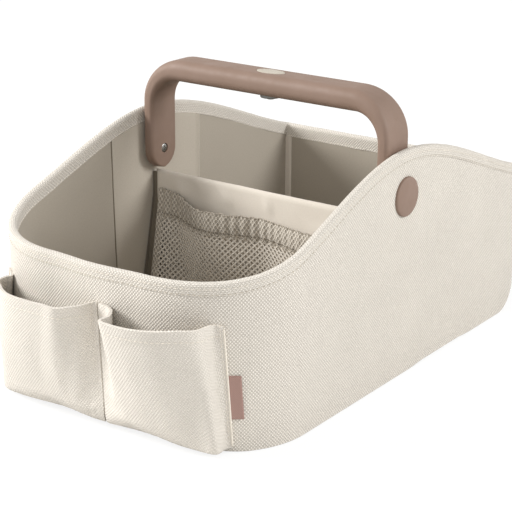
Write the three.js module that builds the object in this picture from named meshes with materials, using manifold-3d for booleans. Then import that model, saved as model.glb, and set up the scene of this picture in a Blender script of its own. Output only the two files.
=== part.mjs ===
// Diaper caddy: a stiffened fabric tub with two front pockets, an inner divider with a mesh
// pocket, and a moulded carry handle that swings on two pivots and holds a small light.
// Millimetres. +X is the right wall, -Y the front with the pockets, +Z up.
// The origin is the middle of the base's underside.
import * as THREE from 'three';
import { mergeVertices } from 'three/addons/utils/BufferGeometryUtils.js';
import Module from 'manifold-3d';

const wasm = await Module();
wasm.setup();

// Driving dimensions of the tub
const BODY_LENGTH = 330;
const FRONT_WIDTH = 211;
const BACK_WIDTH = 198;
const FRONT_RIM_HEIGHT = 102;
const PEAK_HEIGHT = 148.7;
const BACK_RIM_HEIGHT = 105.6;
const PEAK_FROM_BACK = 155;
const CORNER_ACROSS = 69;
const CORNER_ALONG = 62;
const FRONT_BOW = 2.5;
const FRONT_FOOT_RADIUS = 16;
const FRONT_FOOT_ANGLE = 34;
const BACK_FOOT_RADIUS = 18;
const SIDE_FOOT_STEP = 3;

// Thicknesses of the layers, from outside to inside, and the gap between touching pieces
const CLEARANCE = 0.3;
const SHELL_FABRIC = 0.8;
const STIFFENER = 1.2;
const LINING = 0.6;

// Folded fabric binding over the rim
const BINDING_FABRIC = 0.8;
const BINDING_OUTSIDE = 8;
const BINDING_INSIDE = 10;
const BINDING_ROUND = 0.5;

// Reinforcement panels inside the side walls, where the handle is carried
const SIDE_PANEL_FABRIC = 0.6;
const SIDE_PANEL_FRONT_REACH = 42;
const SIDE_PANEL_BACK_REACH = 49;

// Divider across the middle, with a mesh pocket on its front
const DIVIDER_SWING_GAP = 2.2;
const DIVIDER_SIDE_GAP = 5;
const DIVIDER_BOARD = 1.6;
const DIVIDER_FABRIC = 0.8;
const NET_POCKET_DEPTH = 10;
const NET_THICKNESS = 0.6;
const NET_BOTTOM = 7;
const NET_TOP = 72;
const NET_COLUMNS = 13;
const NET_ROWS = 7;
const NET_STRAND_SHARE = 0.34;
const NET_SIDE_MARGIN = 4;
const BAND_HEIGHT = 15;
const BAND_THICKNESS = 1.2;
const TAPE_THICKNESS = 1;

// Two pockets sewn on the front
const POCKET_SEAM_PLACE = 5.5;
const POCKET_OUTER_FOOT_ANGLE = 43.5;
const POCKET_OUTER_TOP_ANGLE = 48;
const POCKET_HEIGHT = 80;
const POCKET_FOOT = 2.5;
const POCKET_DEPTH = 20;
const POCKET_FABRIC = 1;
const POCKET_SEAM_GAP = 0.6;
const POCKET_SEAM_EASE = 0.2;

// Bare label tab in the right pocket's outer seam
const TAB_LENGTH = 26;
const TAB_WIDTH = 7.6;
const TAB_THICKNESS = 1.2;
const TAB_FOOT = 21.2;

// Handle
const PIVOT_PLACE = 7;
const PIVOT_HEIGHT = 119.6;
const HANDLE_TOP = 184;
const HANDLE_WIDTH = 26.4;
const BAR_THICKNESS = 14.2;
const LEG_THICKNESS = 8;
const HANDLE_OUTER_RADIUS = 30;
const HANDLE_INNER_RADIUS = 18;
const BAR_EDGE = 6.2;
const LEG_EDGE = 3;

// Pivots through the side walls
const CAP_DIAMETER = 25.3;
const CAP_THICKNESS = 2.8;
const CAP_DOME = 0.9;
const BOSS_DIAMETER = 9.4;
const BOSS_SEAT_DEPTH = 1.8;
const BUSH_WALL = 1.2;
const BUSH_FLANGE = 0.8;
const BUSH_FLANGE_DIAMETER = 18;
const RING_DIAMETER = 21;
const RING_THICKNESS = 0.8;
const SCREW_DIAMETER = 2.8;
const SCREW_HEAD_DIAMETER = 6;
const SCREW_HEAD_HEIGHT = 1.6;
const SCREW_LENGTH = 9;
const SCREW_HEAD_SINK = 0.3;

// Light, battery and switch inside the bar
const CELL_DIAMETER = 10.5;
const CELL_LENGTH = 44.5;
const CELL_NUB_DIAMETER = 3.8;
const CELL_NUB_LENGTH = 1.2;
const CONTACT_THICKNESS = 0.4;
const CONTACT_WIDTH = 8;
const CONTACT_BUMP_DIAMETER = 4;
const CONTACT_BUMP_LENGTH = 0.8;
const CENTRE_BAY_LENGTH = 25.6;
const CENTRE_BAY_WIDTH = 17.2;
const BAY_RIB = 1.2;
const CELL_BAY_WIDTH = 12;
const BAR_ROOF = 1.7;
const DOOR_THICKNESS = 1.4;
const DOOR_WIDTH = 16;
const DOOR_SCREW_MARGIN = 3;
const DOOR_SCREW_DIAMETER = 2;
const DOOR_SCREW_HEAD_DIAMETER = 4.4;
const DOOR_SCREW_HEAD_HEIGHT = 0.6;
const DOOR_SCREW_LENGTH = 5.5;
const LENS_DIAMETER = 9.2;
const LENS_FLANGE = 0.8;
const LENS_FLANGE_DIAMETER = 12;
const LENS_PROUD = 2.4;
const BEZEL_DIAMETER = 13.6;
const BEZEL_PROUD = 1.1;
const BOARD_LENGTH = 24;
const BOARD_WIDTH = 14;
const BOARD_THICKNESS = 1.2;
const BOARD_POST_DIAMETER = 2.4;
const BOARD_POST_HEIGHT = 3.8;
const LED_SIZE = 3;
const LED_HEIGHT = 1;
const SWITCH_SIZE = 6;
const SWITCH_HEIGHT = 2;
const PLUNGER_DIAMETER = 3.2;
const BUTTON_LENGTH = 21;
const BUTTON_WIDTH = 11;
const BUTTON_PROUD = 0.25;
const BUTTON_TRAVEL = 0.6;
const BUTTON_FLANGE_WIDTH = 1.2;
const BUTTON_FLANGE_HEIGHT = 1;
const BUTTON_CROWN_SHARE = 0.88;

// One overrun for every cut
const OVERRUN = 2;

// How finely round shapes are divided
const ROUND_STEPS = 24;
const SMALL_ROUND_STEPS = 16;
const DOME_STEPS = 4;

// Places of the layers, as depths inward from the outer surface
const WRAP = { out: 0, in: SHELL_FABRIC };
const BOARD = layerInside(WRAP, STIFFENER);
const LINER = layerInside(BOARD, LINING);
const PANEL = layerInside(LINER, SIDE_PANEL_FABRIC);
const BINDING_IN = layerInside(LINER, BINDING_FABRIC);
const BINDING_OUT = { out: -CLEARANCE - BINDING_FABRIC, in: -CLEARANCE };
const LAYER_TOP_DROP = BINDING_FABRIC + CLEARANCE;

// Places that follow from the sizes
const FRONT_EDGE = -BODY_LENGTH / 2;
const BACK_EDGE = BODY_LENGTH / 2;
const CORNER_START = FRONT_EDGE + CORNER_ALONG;
const CORNER_MIDDLE = halfWidth(CORNER_START) - CORNER_ACROSS;
const BACK_FOOT_START = BACK_EDGE - BACK_FOOT_RADIUS;
const PEAK_PLACE = BACK_EDGE - PEAK_FROM_BACK;
const FLOOR_TOP = LINER.in;
const PIVOT_WALL = halfWidth(PIVOT_PLACE);
const RING_FAR = PIVOT_WALL - PANEL.in - leanGap(RING_DIAMETER);
const RING_NEAR = RING_FAR - RING_THICKNESS;
const LEG_OUTER = RING_NEAR - CLEARANCE;
const LEG_INNER = LEG_OUTER - LEG_THICKNESS;
const BAR_UNDER = HANDLE_TOP - BAR_THICKNESS;
const BAR_CEILING = HANDLE_TOP - BAR_ROOF;
const DIVIDER_HEIGHT = PIVOT_HEIGHT - HANDLE_WIDTH / 2 - DIVIDER_SWING_GAP;

const MATERIALS = {
  weave: material('#E6DFD2', 0.95, 0),
  binding: material('#E2DACB', 0.95, 0),
  lining: material('#9B9285', 0.9, 0),
  panel: material('#A79F92', 0.9, 0),
  divider: material('#D6CFC3', 0.9, 0),
  net: material('#8C8476', 0.9, 0),
  stiffener: material('#C9C5BC', 0.85, 0),
  tab: material('#A07C70', 0.8, 0),
  handle: material('#A28779', 0.5, 0),
  button: material('#D3CCC0', 0.5, 0),
  nylon: material('#D8D4CB', 0.5, 0),
  steel: material('#B9B9B7', 0.35, 0.9),
  cell: material('#3B3E42', 0.4, 0.3),
  board: material('#2F5B45', 0.6, 0),
  lens: material('#E9EEF0', 0.1, 0),
  led: material('#F0E6A8', 0.3, 0),
};

function material(color, roughness, metalness) {
  return new THREE.MeshStandardMaterial({ color, roughness, metalness });
}

function layerInside(layer, thickness) {
  return { out: layer.in + CLEARANCE, in: layer.in + CLEARANCE + thickness };
}

function radians(degrees) {
  return THREE.MathUtils.degToRad(degrees);
}

// Evenly spaced shares from 0 to 1
function shares(steps) {
  return Array.from({ length: steps + 1 }, (_, i) => i / steps);
}

// Half the tub's width at a place along its length
function halfWidth(along) {
  const share = (BODY_LENGTH / 2 - along) / BODY_LENGTH;
  return THREE.MathUtils.lerp(BACK_WIDTH, FRONT_WIDTH, share) / 2;
}

// Gap between the slanting wall and a disc across the pivots' line
function leanGap(diameter) {
  const slant = Math.abs(FRONT_WIDTH - BACK_WIDTH) / (2 * BODY_LENGTH);
  return CLEARANCE + slant * diameter / 2;
}

// Height of the rim: a soft S from the low front up to the peak beside the handle,
// then a round crest that falls to the back in a nearly straight line
function rimHeight(along) {
  if (along < PEAK_PLACE) {
    const rise = THREE.MathUtils.smoothstep(along, FRONT_EDGE, PEAK_PLACE);
    return THREE.MathUtils.lerp(FRONT_RIM_HEIGHT, PEAK_HEIGHT, rise);
  }
  const run = (along - PEAK_PLACE) / (BACK_EDGE - PEAK_PLACE);
  return THREE.MathUtils.lerp(PEAK_HEIGHT, BACK_RIM_HEIGHT, run * run * (2 - run));
}

// Closed solid through rings of points. Each ring runs up one side and back down the other,
// so its two halves face each other and the end caps are strips between them.
function loft(rings, closed = false) {
  const count = rings[0].length;
  const positions = rings.flat().flatMap((point) => [point.x, point.y, point.z]);
  const index = [];
  const last = closed ? rings.length : rings.length - 1;
  for (let ring = 0; ring < last; ring += 1) {
    const next = (ring + 1) % rings.length;
    for (let i = 0; i < count; i += 1) {
      const j = (i + 1) % count;
      const [a, b] = [ring * count + i, ring * count + j];
      const [c, d] = [next * count + j, next * count + i];
      index.push(a, b, c, a, c, d);
    }
  }
  if (!closed) {
    const end = (rings.length - 1) * count;
    for (let i = 0; i < count / 2 - 1; i += 1) {
      const [a, b, c, d] = [i, i + 1, count - 2 - i, count - 1 - i];
      index.push(a, c, b, a, d, c);
      index.push(end + a, end + b, end + c, end + a, end + c, end + d);
    }
  }
  return facingOut(positions, index);
}

function facingOut(positions, index) {
  const geometry = new THREE.BufferGeometry();
  geometry.setAttribute('position', new THREE.Float32BufferAttribute(positions, 3));
  geometry.setIndex(signedVolume(positions, index) < 0 ? [...index].reverse() : index);
  return geometry;
}

function signedVolume(positions, index) {
  const corner = (i) => new THREE.Vector3().fromArray(positions, index[i] * 3);
  let volume = 0;
  for (let i = 0; i < index.length; i += 3) {
    volume += corner(i).dot(corner(i + 1).cross(corner(i + 2)));
  }
  return volume;
}

// Geometry with shared corners and no triangle that has shrunk to a line
function welded(geometry) {
  const bare = geometry.clone();
  bare.deleteAttribute('normal');
  bare.deleteAttribute('uv');
  const merged = mergeVertices(bare);
  const index = Array.from(merged.index.array);
  const kept = [];
  for (let i = 0; i < index.length; i += 3) {
    const [a, b, c] = index.slice(i, i + 3);
    if (a !== b && b !== c && c !== a) kept.push(a, b, c);
  }
  merged.setIndex(kept);
  return merged;
}

function toSolid(geometry) {
  const merged = welded(geometry);
  return new wasm.Manifold(new wasm.Mesh({
    numProp: 3,
    vertProperties: new Float32Array(merged.attributes.position.array),
    triVerts: new Uint32Array(merged.index.array),
  }));
}

function toGeometry(solid) {
  const mesh = solid.getMesh();
  const geometry = new THREE.BufferGeometry();
  geometry.setAttribute('position', new THREE.BufferAttribute(mesh.vertProperties, 3));
  geometry.setIndex(new THREE.BufferAttribute(mesh.triVerts, 1));
  return geometry;
}

function cut(geometry, tools) {
  const whole = toSolid(geometry);
  return toGeometry(tools.reduce((solid, tool) => solid.subtract(toSolid(tool)), whole));
}

function join(geometries) {
  const [first, ...rest] = geometries.map(toSolid);
  return toGeometry(rest.reduce((solid, other) => solid.add(other), first));
}

// Box between two corners
function block(low, high) {
  const size = high.map((value, i) => value - low[i]);
  const middle = high.map((value, i) => (value + low[i]) / 2);
  return new THREE.BoxGeometry(...size).translate(...middle);
}

// Upright round or oval post between two heights
function post(x, y, low, high, diameterX, diameterY = diameterX, steps = SMALL_ROUND_STEPS) {
  const radius = diameterX / 2;
  const geometry = new THREE.CylinderGeometry(radius, radius, high - low, steps);
  geometry.rotateX(Math.PI / 2).scale(1, diameterY / diameterX, 1);
  return geometry.translate(x, y, (low + high) / 2);
}

// Round bar along X on the pivots' line, between two distances from the middle
function crossBar(hand, near, far, diameter, steps = ROUND_STEPS) {
  const geometry = new THREE.CylinderGeometry(diameter / 2, diameter / 2, far - near, steps);
  geometry.rotateZ(Math.PI / 2);
  return geometry.translate(hand * (near + far) / 2, PIVOT_PLACE, PIVOT_HEIGHT);
}

// Lathed geometry as a closed solid that faces outwards
function turned(geometry) {
  const merged = welded(geometry);
  return facingOut(Array.from(merged.attributes.position.array), Array.from(merged.index.array));
}

// Solid turned about the pivots' line. The profile is a list of [distance out, radius].
function turnedOnPivot(hand, profile, steps = ROUND_STEPS) {
  const points = profile.map(([out, radius]) => new THREE.Vector2(radius, out));
  const geometry = new THREE.LatheGeometry(points, steps);
  geometry.rotateZ(-Math.PI / 2);
  if (hand < 0) geometry.rotateY(Math.PI);
  return turned(geometry.translate(0, PIVOT_PLACE, PIVOT_HEIGHT));
}

// Stations around the tub. Each gives its plan point at a depth inside the outer surface.
function footStation(hand, angle) {
  return {
    foot: 0,
    lift: (out) => BACK_FOOT_RADIUS - (BACK_FOOT_RADIUS - out) * Math.cos(angle) - out,
    at: (depth, out) => {
      const along = BACK_FOOT_START + (BACK_FOOT_RADIUS - out) * Math.sin(angle);
      return new THREE.Vector2(hand * (halfWidth(along) - depth), along);
    },
  };
}

function sideStation(hand, along) {
  return {
    foot: 0,
    lift: () => 0,
    at: (depth) => new THREE.Vector2(hand * (halfWidth(along) - depth), along),
  };
}

function cornerStation(hand, angle) {
  return {
    foot: FRONT_FOOT_RADIUS * THREE.MathUtils.smoothstep(angle, radians(FRONT_FOOT_ANGLE), Math.PI / 2),
    lift: () => 0,
    at: (depth) => new THREE.Vector2(
      hand * (CORNER_MIDDLE + (CORNER_ACROSS - depth) * Math.cos(angle)),
      CORNER_START - (CORNER_ALONG - depth) * Math.sin(angle),
    ),
  };
}

function frontStation(share) {
  const bow = FRONT_BOW * (1 + Math.cos(Math.PI * share)) / 2;
  return {
    foot: FRONT_FOOT_RADIUS,
    lift: () => 0,
    at: (depth) => new THREE.Vector2(CORNER_MIDDLE * share, FRONT_EDGE + depth - bow),
  };
}

const FOOT_STEPS = 4;
const SIDE_STEPS = 15;
const CORNER_STEPS = 8;
const FRONT_STEPS = 6;

function footStations(hand) {
  const turns = shares(FOOT_STEPS).slice(1).reverse();
  return turns.map((share) => footStation(hand, share * Math.PI / 2));
}

function sideStations(hand) {
  return shares(SIDE_STEPS).map((share) => (
    sideStation(hand, THREE.MathUtils.lerp(BACK_FOOT_START, CORNER_START, share))));
}

// From the back left round the front to the back right
function wallStations() {
  const side = [...footStations(-1), ...sideStations(-1), ...cornerStations(-1)];
  const other = [...footStations(1), ...sideStations(1), ...cornerStations(1)].reverse();
  return [...side, ...frontStations(), ...other];
}

function cornerStations(hand) {
  return shares(CORNER_STEPS).slice(1).map((share) => cornerStation(hand, share * Math.PI / 2));
}

function frontStations() {
  return shares(FRONT_STEPS).slice(1, -1).map((share) => frontStation(2 * share - 1));
}

// Point on a layer's face at an angle of the rounded foot, from 0 under the base to a quarter turn
function footPoint(station, depth, out, angle) {
  const radius = Math.max(station.foot - depth, 0);
  const inset = depth + radius * (1 - Math.sin(angle));
  const rise = Math.max(radius, SIDE_FOOT_STEP) * (1 - Math.cos(angle));
  const plan = station.at(inset, out);
  return new THREE.Vector3(plan.x, plan.y, station.lift(out) + depth + rise);
}

function rimPoint(station, depth, out, drop) {
  const plan = station.at(depth, out);
  return new THREE.Vector3(plan.x, plan.y, rimHeight(station.at(0, out).y) - drop);
}

// One layer of the walls through the given stations, from the foot to the rim
function wallLayer(layer, stations) {
  const angles = shares(FOOT_STEPS).map((share) => share * Math.PI / 2);
  const column = (station, depth) => [
    ...angles.map((angle) => footPoint(station, depth, layer.out, angle)),
    rimPoint(station, depth, layer.out, LAYER_TOP_DROP),
  ];
  return loft(stations.map((station) => [
    ...column(station, layer.out),
    ...column(station, layer.in).reverse(),
  ]));
}

// One layer of the back wall: straight down from the rim and round under the base
function backLayer(layer) {
  const top = BACK_RIM_HEIGHT - LAYER_TOP_DROP;
  const column = (x, depth) => {
    const radius = BACK_FOOT_RADIUS - depth;
    const curve = shares(FOOT_STEPS).map((share) => {
      const angle = share * Math.PI / 2;
      const along = BACK_FOOT_START + radius * Math.sin(angle);
      return new THREE.Vector3(x, along, BACK_FOOT_RADIUS - radius * Math.cos(angle));
    });
    return [...curve, new THREE.Vector3(x, BACK_EDGE - depth, top)];
  };
  const half = halfWidth(BACK_EDGE) - layer.in - CLEARANCE;
  return loft([-half, half].map((x) => [
    ...column(x, layer.out),
    ...column(x, layer.in).reverse(),
  ]));
}

// One layer of the base, inside the foot of the same layer of the walls
function baseLayer(layer) {
  const inset = (station) => Math.max(station.foot, layer.in) + CLEARANCE;
  const straight = (hand) => sideStations(hand).map((station, i) => (
    i === 0 ? sideStation(hand, BACK_FOOT_START - CLEARANCE) : station));
  const left = [...straight(-1), ...cornerStations(-1)];
  const right = [...straight(1), ...cornerStations(1)].reverse();
  const outline = [...left, ...frontStations(), ...right]
    .map((station) => station.at(inset(station), layer.out));
  const depth = layer.in - layer.out;
  return new THREE.ExtrudeGeometry(new THREE.Shape(outline), { depth, bevelEnabled: false })
    .translate(0, 0, layer.out);
}

// Folded binding all round the rim: a channel over the top of the layers
function rimBinding() {
  const sides = (hand) => [...footStations(hand), ...sideStations(hand), ...cornerStations(hand)];
  const stations = [...sides(-1), ...frontStations(), ...sides(1).reverse()];
  const section = (station) => {
    const at = (depth, drop) => rimPoint(station, depth, depth, drop);
    return [
      at(BINDING_OUT.out, BINDING_OUTSIDE),
      at(BINDING_OUT.out, BINDING_ROUND),
      at(BINDING_OUT.out + BINDING_ROUND, 0),
      at(BINDING_IN.in - BINDING_ROUND, 0),
      at(BINDING_IN.in, BINDING_ROUND),
      at(BINDING_IN.in, BINDING_INSIDE),
      at(BINDING_IN.out, BINDING_INSIDE),
      at(BINDING_IN.out, BINDING_FABRIC),
      at(BINDING_OUT.in, BINDING_FABRIC),
      at(BINDING_OUT.in, BINDING_OUTSIDE),
    ];
  };
  return loft(stations.map(section), true);
}

function pivotHole(hand, diameter) {
  return crossBar(hand, PIVOT_WALL - PANEL.in - OVERRUN, PIVOT_WALL + OVERRUN, diameter);
}

const BUSH_DIAMETER = BOSS_DIAMETER + 2 * CLEARANCE + 2 * BUSH_WALL;
const WALL_HOLE = BUSH_DIAMETER + 2 * CLEARANCE;

// Tub walls
function pivotedWalls(layer) {
  const holes = [-1, 1].map((hand) => pivotHole(hand, WALL_HOLE));
  return cut(wallLayer(layer, wallStations()), holes);
}

const BOARD_JOINT = 1;

function sideBoard(hand) {
  const front = sideStation(hand, CORNER_START + BOARD_JOINT);
  const stations = [...footStations(hand), ...sideStations(hand).slice(0, -1), front];
  return cut(wallLayer(BOARD, stations), [pivotHole(hand, WALL_HOLE)]);
}

function frontBoard() {
  const end = (hand) => sideStation(hand, CORNER_START);
  const stations = [
    end(-1), ...cornerStations(-1), ...frontStations(), ...cornerStations(1).reverse(), end(1)];
  return wallLayer(BOARD, stations);
}

function sidePanel(hand) {
  const back = PIVOT_PLACE + SIDE_PANEL_BACK_REACH;
  const front = PIVOT_PLACE - SIDE_PANEL_FRONT_REACH;
  const inside = sideStations(hand).filter((station) => {
    const along = station.at(0).y;
    return along < back - OVERRUN && along > front + OVERRUN;
  });
  const stations = [sideStation(hand, back), ...inside, sideStation(hand, front)];
  const column = (station, depth) => {
    const plan = station.at(depth);
    const low = new THREE.Vector3(plan.x, plan.y, FLOOR_TOP + CLEARANCE);
    return [low, rimPoint(station, depth, 0, BINDING_INSIDE + CLEARANCE)];
  };
  const panel = loft(stations.map((station) => [
    ...column(station, PANEL.out),
    ...column(station, PANEL.in).reverse(),
  ]));
  return cut(panel, [pivotHole(hand, WALL_HOLE)]);
}

// Divider: a board in a fabric sleeve that is open at its foot
const DIVIDER_THICKNESS = DIVIDER_BOARD + 2 * CLEARANCE + 2 * DIVIDER_FABRIC;
const DIVIDER_HALF = halfWidth(PIVOT_PLACE) - PANEL.in - DIVIDER_SIDE_GAP;
const DIVIDER_FRONT = PIVOT_PLACE - DIVIDER_THICKNESS / 2;
const DIVIDER_BACK = PIVOT_PLACE + DIVIDER_THICKNESS / 2;
const DIVIDER_FOOT = FLOOR_TOP + CLEARANCE;

function dividerCover() {
  const whole = block(
    [-DIVIDER_HALF, DIVIDER_FRONT, DIVIDER_FOOT],
    [DIVIDER_HALF, DIVIDER_BACK, DIVIDER_HEIGHT],
  );
  const side = DIVIDER_HALF - DIVIDER_FABRIC;
  const hollow = block(
    [-side, DIVIDER_FRONT + DIVIDER_FABRIC, DIVIDER_FOOT - OVERRUN],
    [side, DIVIDER_BACK - DIVIDER_FABRIC, DIVIDER_HEIGHT - DIVIDER_FABRIC],
  );
  return cut(whole, [hollow]);
}

function dividerBoard() {
  const wall = DIVIDER_FABRIC + CLEARANCE;
  return block(
    [-DIVIDER_HALF + wall, DIVIDER_FRONT + wall, DIVIDER_FOOT],
    [DIVIDER_HALF - wall, DIVIDER_BACK - wall, DIVIDER_HEIGHT - wall],
  );
}

// Mesh pocket: a flat net with an elastic band along its top, on tapes that stand off the divider
const NET_HALF = DIVIDER_HALF - NET_SIDE_MARGIN;
const NET_BACK = DIVIDER_FRONT - NET_POCKET_DEPTH;
const NET_FRONT = NET_BACK - NET_THICKNESS;

function net() {
  const width = 2 * NET_HALF;
  const height = NET_TOP - NET_BOTTOM;
  const cellWidth = width / NET_COLUMNS;
  const cellHeight = height / NET_ROWS;
  const shape = new THREE.Shape();
  rectangle(shape, -NET_HALF, NET_BOTTOM, NET_HALF, NET_TOP);
  for (let row = 0; row < NET_ROWS; row += 1) {
    for (let column = 0; column < NET_COLUMNS; column += 1) {
      const hole = new THREE.Path();
      const x = -NET_HALF + (column + 0.5) * cellWidth;
      const z = NET_BOTTOM + (row + 0.5) * cellHeight;
      const across = cellWidth * (1 - NET_STRAND_SHARE) / 2;
      const up = cellHeight * (1 - NET_STRAND_SHARE) / 2;
      hole.moveTo(x - across, z);
      hole.lineTo(x, z + up);
      hole.lineTo(x + across, z);
      hole.lineTo(x, z - up);
      hole.closePath();
      shape.holes.push(hole);
    }
  }
  const flat = new THREE.ExtrudeGeometry(shape, { depth: NET_THICKNESS, bevelEnabled: false });
  return flat.rotateX(Math.PI / 2).translate(0, NET_BACK, 0);
}

function rectangle(path, left, low, right, high) {
  path.moveTo(left, low);
  path.lineTo(right, low);
  path.lineTo(right, high);
  path.lineTo(left, high);
  path.closePath();
}

function netBand() {
  const low = NET_TOP + CLEARANCE;
  return block(
    [-NET_HALF, NET_BACK - BAND_THICKNESS, low],
    [NET_HALF, NET_BACK, low + BAND_HEIGHT],
  );
}

// Side tape of the mesh pocket, from the divider out past the net's end
function netSideTape(hand) {
  const near = NET_HALF + CLEARANCE;
  const across = [hand * near, hand * (near + TAPE_THICKNESS)].sort((a, b) => a - b);
  return block(
    [across[0], NET_BACK - BAND_THICKNESS, NET_BOTTOM],
    [across[1], DIVIDER_FRONT - CLEARANCE, NET_TOP + CLEARANCE + BAND_HEIGHT],
  );
}

function netFootTape() {
  const high = NET_BOTTOM - CLEARANCE;
  return block(
    [-NET_HALF, NET_FRONT, high - TAPE_THICKNESS],
    [NET_HALF, DIVIDER_FRONT - CLEARANCE, high],
  );
}

// Pockets. A pocket's plan is a list of shares: how far along the wall between its two seams,
// and how far out of the pocket's depth. One list is for the open top, one for the foot.
const LEFT_TOP_SHARES = [
  [0, 0], [0.03, 0], [0.11, 0.08], [0.11, 0.28], [0.2, 0.62], [0.4, 0.96], [0.6, 1.04],
  [0.8, 0.98], [0.9, 0.78], [0.96, 0.3], [0.985, 0], [1, 0],
];
const LEFT_FOOT_SHARES = [
  [0, 0], [0.03, 0], [0.06, 0.08], [0.07, 0.28], [0.15, 0.44], [0.3, 0.34], [0.45, 0.24],
  [0.6, 0.1], [0.7, 0.03], [0.9, 0.03], [0.98, 0.03], [1, 0],
];
const RIGHT_TOP_SHARES = [
  [0, 0], [0.015, 0], [0.15, 0.22], [0.2, 0.6], [0.185, 0.98], [0.34, 1.08], [0.54, 1.02],
  [0.76, 0.78], [0.89, 0.54], [0.93, 0.3], [0.975, 0], [1, 0],
];
const RIGHT_FOOT_SHARES = [
  [0, 0], [0.01, 0.02], [0.02, 0.03], [0.08, 0.02], [0.2, 0], [0.35, 0.01], [0.52, 0.04],
  [0.76, 0.18], [0.9, 0.36], [0.94, 0.28], [0.975, 0.1], [1, 0],
];
const POCKET_COLUMNS = 26;
const POCKET_FOOT_ROWS = 5;
const POCKET_UPPER_ROWS = 3;
const POCKET_CLOSING_SHARES = [0, 0.6];
const POCKET_SWELL_POWER = 0.8;
const POCKET_CURVE_TENSION = 0.5;

// Share of the pockets' height, and the corner's angle at their leaning outer seams
function pocketShare(height) {
  return Math.max(height - POCKET_FOOT, 0) / (POCKET_HEIGHT - POCKET_FOOT);
}

function seamAngle(height) {
  return radians(THREE.MathUtils.lerp(POCKET_OUTER_FOOT_ANGLE, POCKET_OUTER_TOP_ANGLE, pocketShare(height)));
}

// Path along the outside of the front wall at a height, from one seam to the other
function frontPath(height, hand) {
  const outer = seamAngle(height);
  const corner = shares(CORNER_STEPS).slice(1).map((share) => (
    cornerStation(hand, THREE.MathUtils.lerp(Math.PI / 2, outer, share))));
  const start = POCKET_SEAM_PLACE + hand * POCKET_SEAM_GAP;
  const flat = shares(FRONT_STEPS).map((share) => (
    frontStation(THREE.MathUtils.lerp(start / CORNER_MIDDLE, hand, share))));
  const points = [...flat, ...corner].map((station) => wallFace(station, height));
  return new THREE.CatmullRomCurve3(hand < 0 ? points.reverse() : points);
}

// Outer face of the wall at a height, where the foot draws it in
function wallFace(station, height) {
  const radius = station.foot;
  const rise = Math.min(height, radius);
  const inset = radius - Math.sqrt(radius * radius - (radius - rise) * (radius - rise));
  const plan = station.at(inset, 0);
  return new THREE.Vector3(plan.x, plan.y, height);
}

function pocketRow(hand, height, openness, foot, top, closing) {
  const path = frontPath(height, hand);
  const places = top.map(([along, out], i) => new THREE.Vector3(
    THREE.MathUtils.lerp(foot[i][0], along, openness),
    closing * THREE.MathUtils.lerp(foot[i][1], out, openness),
    0,
  ));
  const guide = new THREE.CatmullRomCurve3(places, false, 'catmullrom', POCKET_CURVE_TENSION);
  return shares(POCKET_COLUMNS).map((share) => {
    const place = guide.getPoint(share);
    const along = THREE.MathUtils.clamp(place.x, 0, 1);
    const wall = path.getPointAt(along);
    const tangent = path.getTangentAt(along);
    const outward = new THREE.Vector3(tangent.y, -tangent.x, 0).normalize();
    const seat = CLEARANCE + POCKET_SEAM_EASE + POCKET_FABRIC / 2;
    return wall.add(outward.multiplyScalar(seat + Math.max(place.y, 0) * POCKET_DEPTH));
  });
}

// Both faces of a sheet whose middle runs through a row of points
function sheetFaces(row, thickness) {
  const offset = (side) => row.map((point, i) => {
    const before = row[Math.max(i - 1, 0)];
    const after = row[Math.min(i + 1, row.length - 1)];
    const run = after.clone().sub(before).normalize();
    const out = new THREE.Vector3(run.y, -run.x, 0).multiplyScalar(side * thickness / 2);
    return point.clone().add(out);
  });
  return [...offset(1), ...offset(-1).reverse()];
}

function pocket(hand) {
  const [foot, top] = hand < 0
    ? [LEFT_FOOT_SHARES, LEFT_TOP_SHARES]
    : [RIGHT_FOOT_SHARES, RIGHT_TOP_SHARES];
  const rows = pocketHeights().map((height, i) => pocketRow(
    hand,
    height,
    pocketShare(height) ** POCKET_SWELL_POWER,
    foot,
    top,
    POCKET_CLOSING_SHARES[i] ?? 1,
  ));
  return loft(rows.map((row) => sheetFaces(row, POCKET_FABRIC)));
}

// Heights of a pocket's rows: close together round the wall's foot, wider apart above it
function pocketHeights() {
  const start = Math.acos(1 - POCKET_FOOT / FRONT_FOOT_RADIUS);
  const round = shares(POCKET_FOOT_ROWS).map((share) => (
    FRONT_FOOT_RADIUS * (1 - Math.cos(THREE.MathUtils.lerp(start, Math.PI / 2, share)))));
  const upper = shares(POCKET_UPPER_ROWS).slice(1).map((share) => (
    THREE.MathUtils.lerp(FRONT_FOOT_RADIUS, POCKET_HEIGHT, share)));
  return [...round, ...upper];
}

const TAB_STEPS = 2;

// Label tab beside the right pocket's outer seam, against the wall
function labelTab() {
  const turn = (length, height) => (
    seamAngle(height) - length / ((CORNER_ACROSS + CORNER_ALONG) / 2));
  const at = (share, depth, height) => {
    const station = cornerStation(1, turn(POCKET_SEAM_GAP + share * TAB_WIDTH, height));
    const plan = station.at(depth);
    return new THREE.Vector3(plan.x, plan.y, height);
  };
  const [inner, outer] = [-CLEARANCE, -CLEARANCE - TAB_THICKNESS];
  const [low, high] = [TAB_FOOT, TAB_FOOT + TAB_LENGTH];
  return loft(shares(TAB_STEPS).map((share) => [
    at(share, inner, low), at(share, inner, high), at(share, outer, high), at(share, outer, low),
  ]));
}

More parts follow.
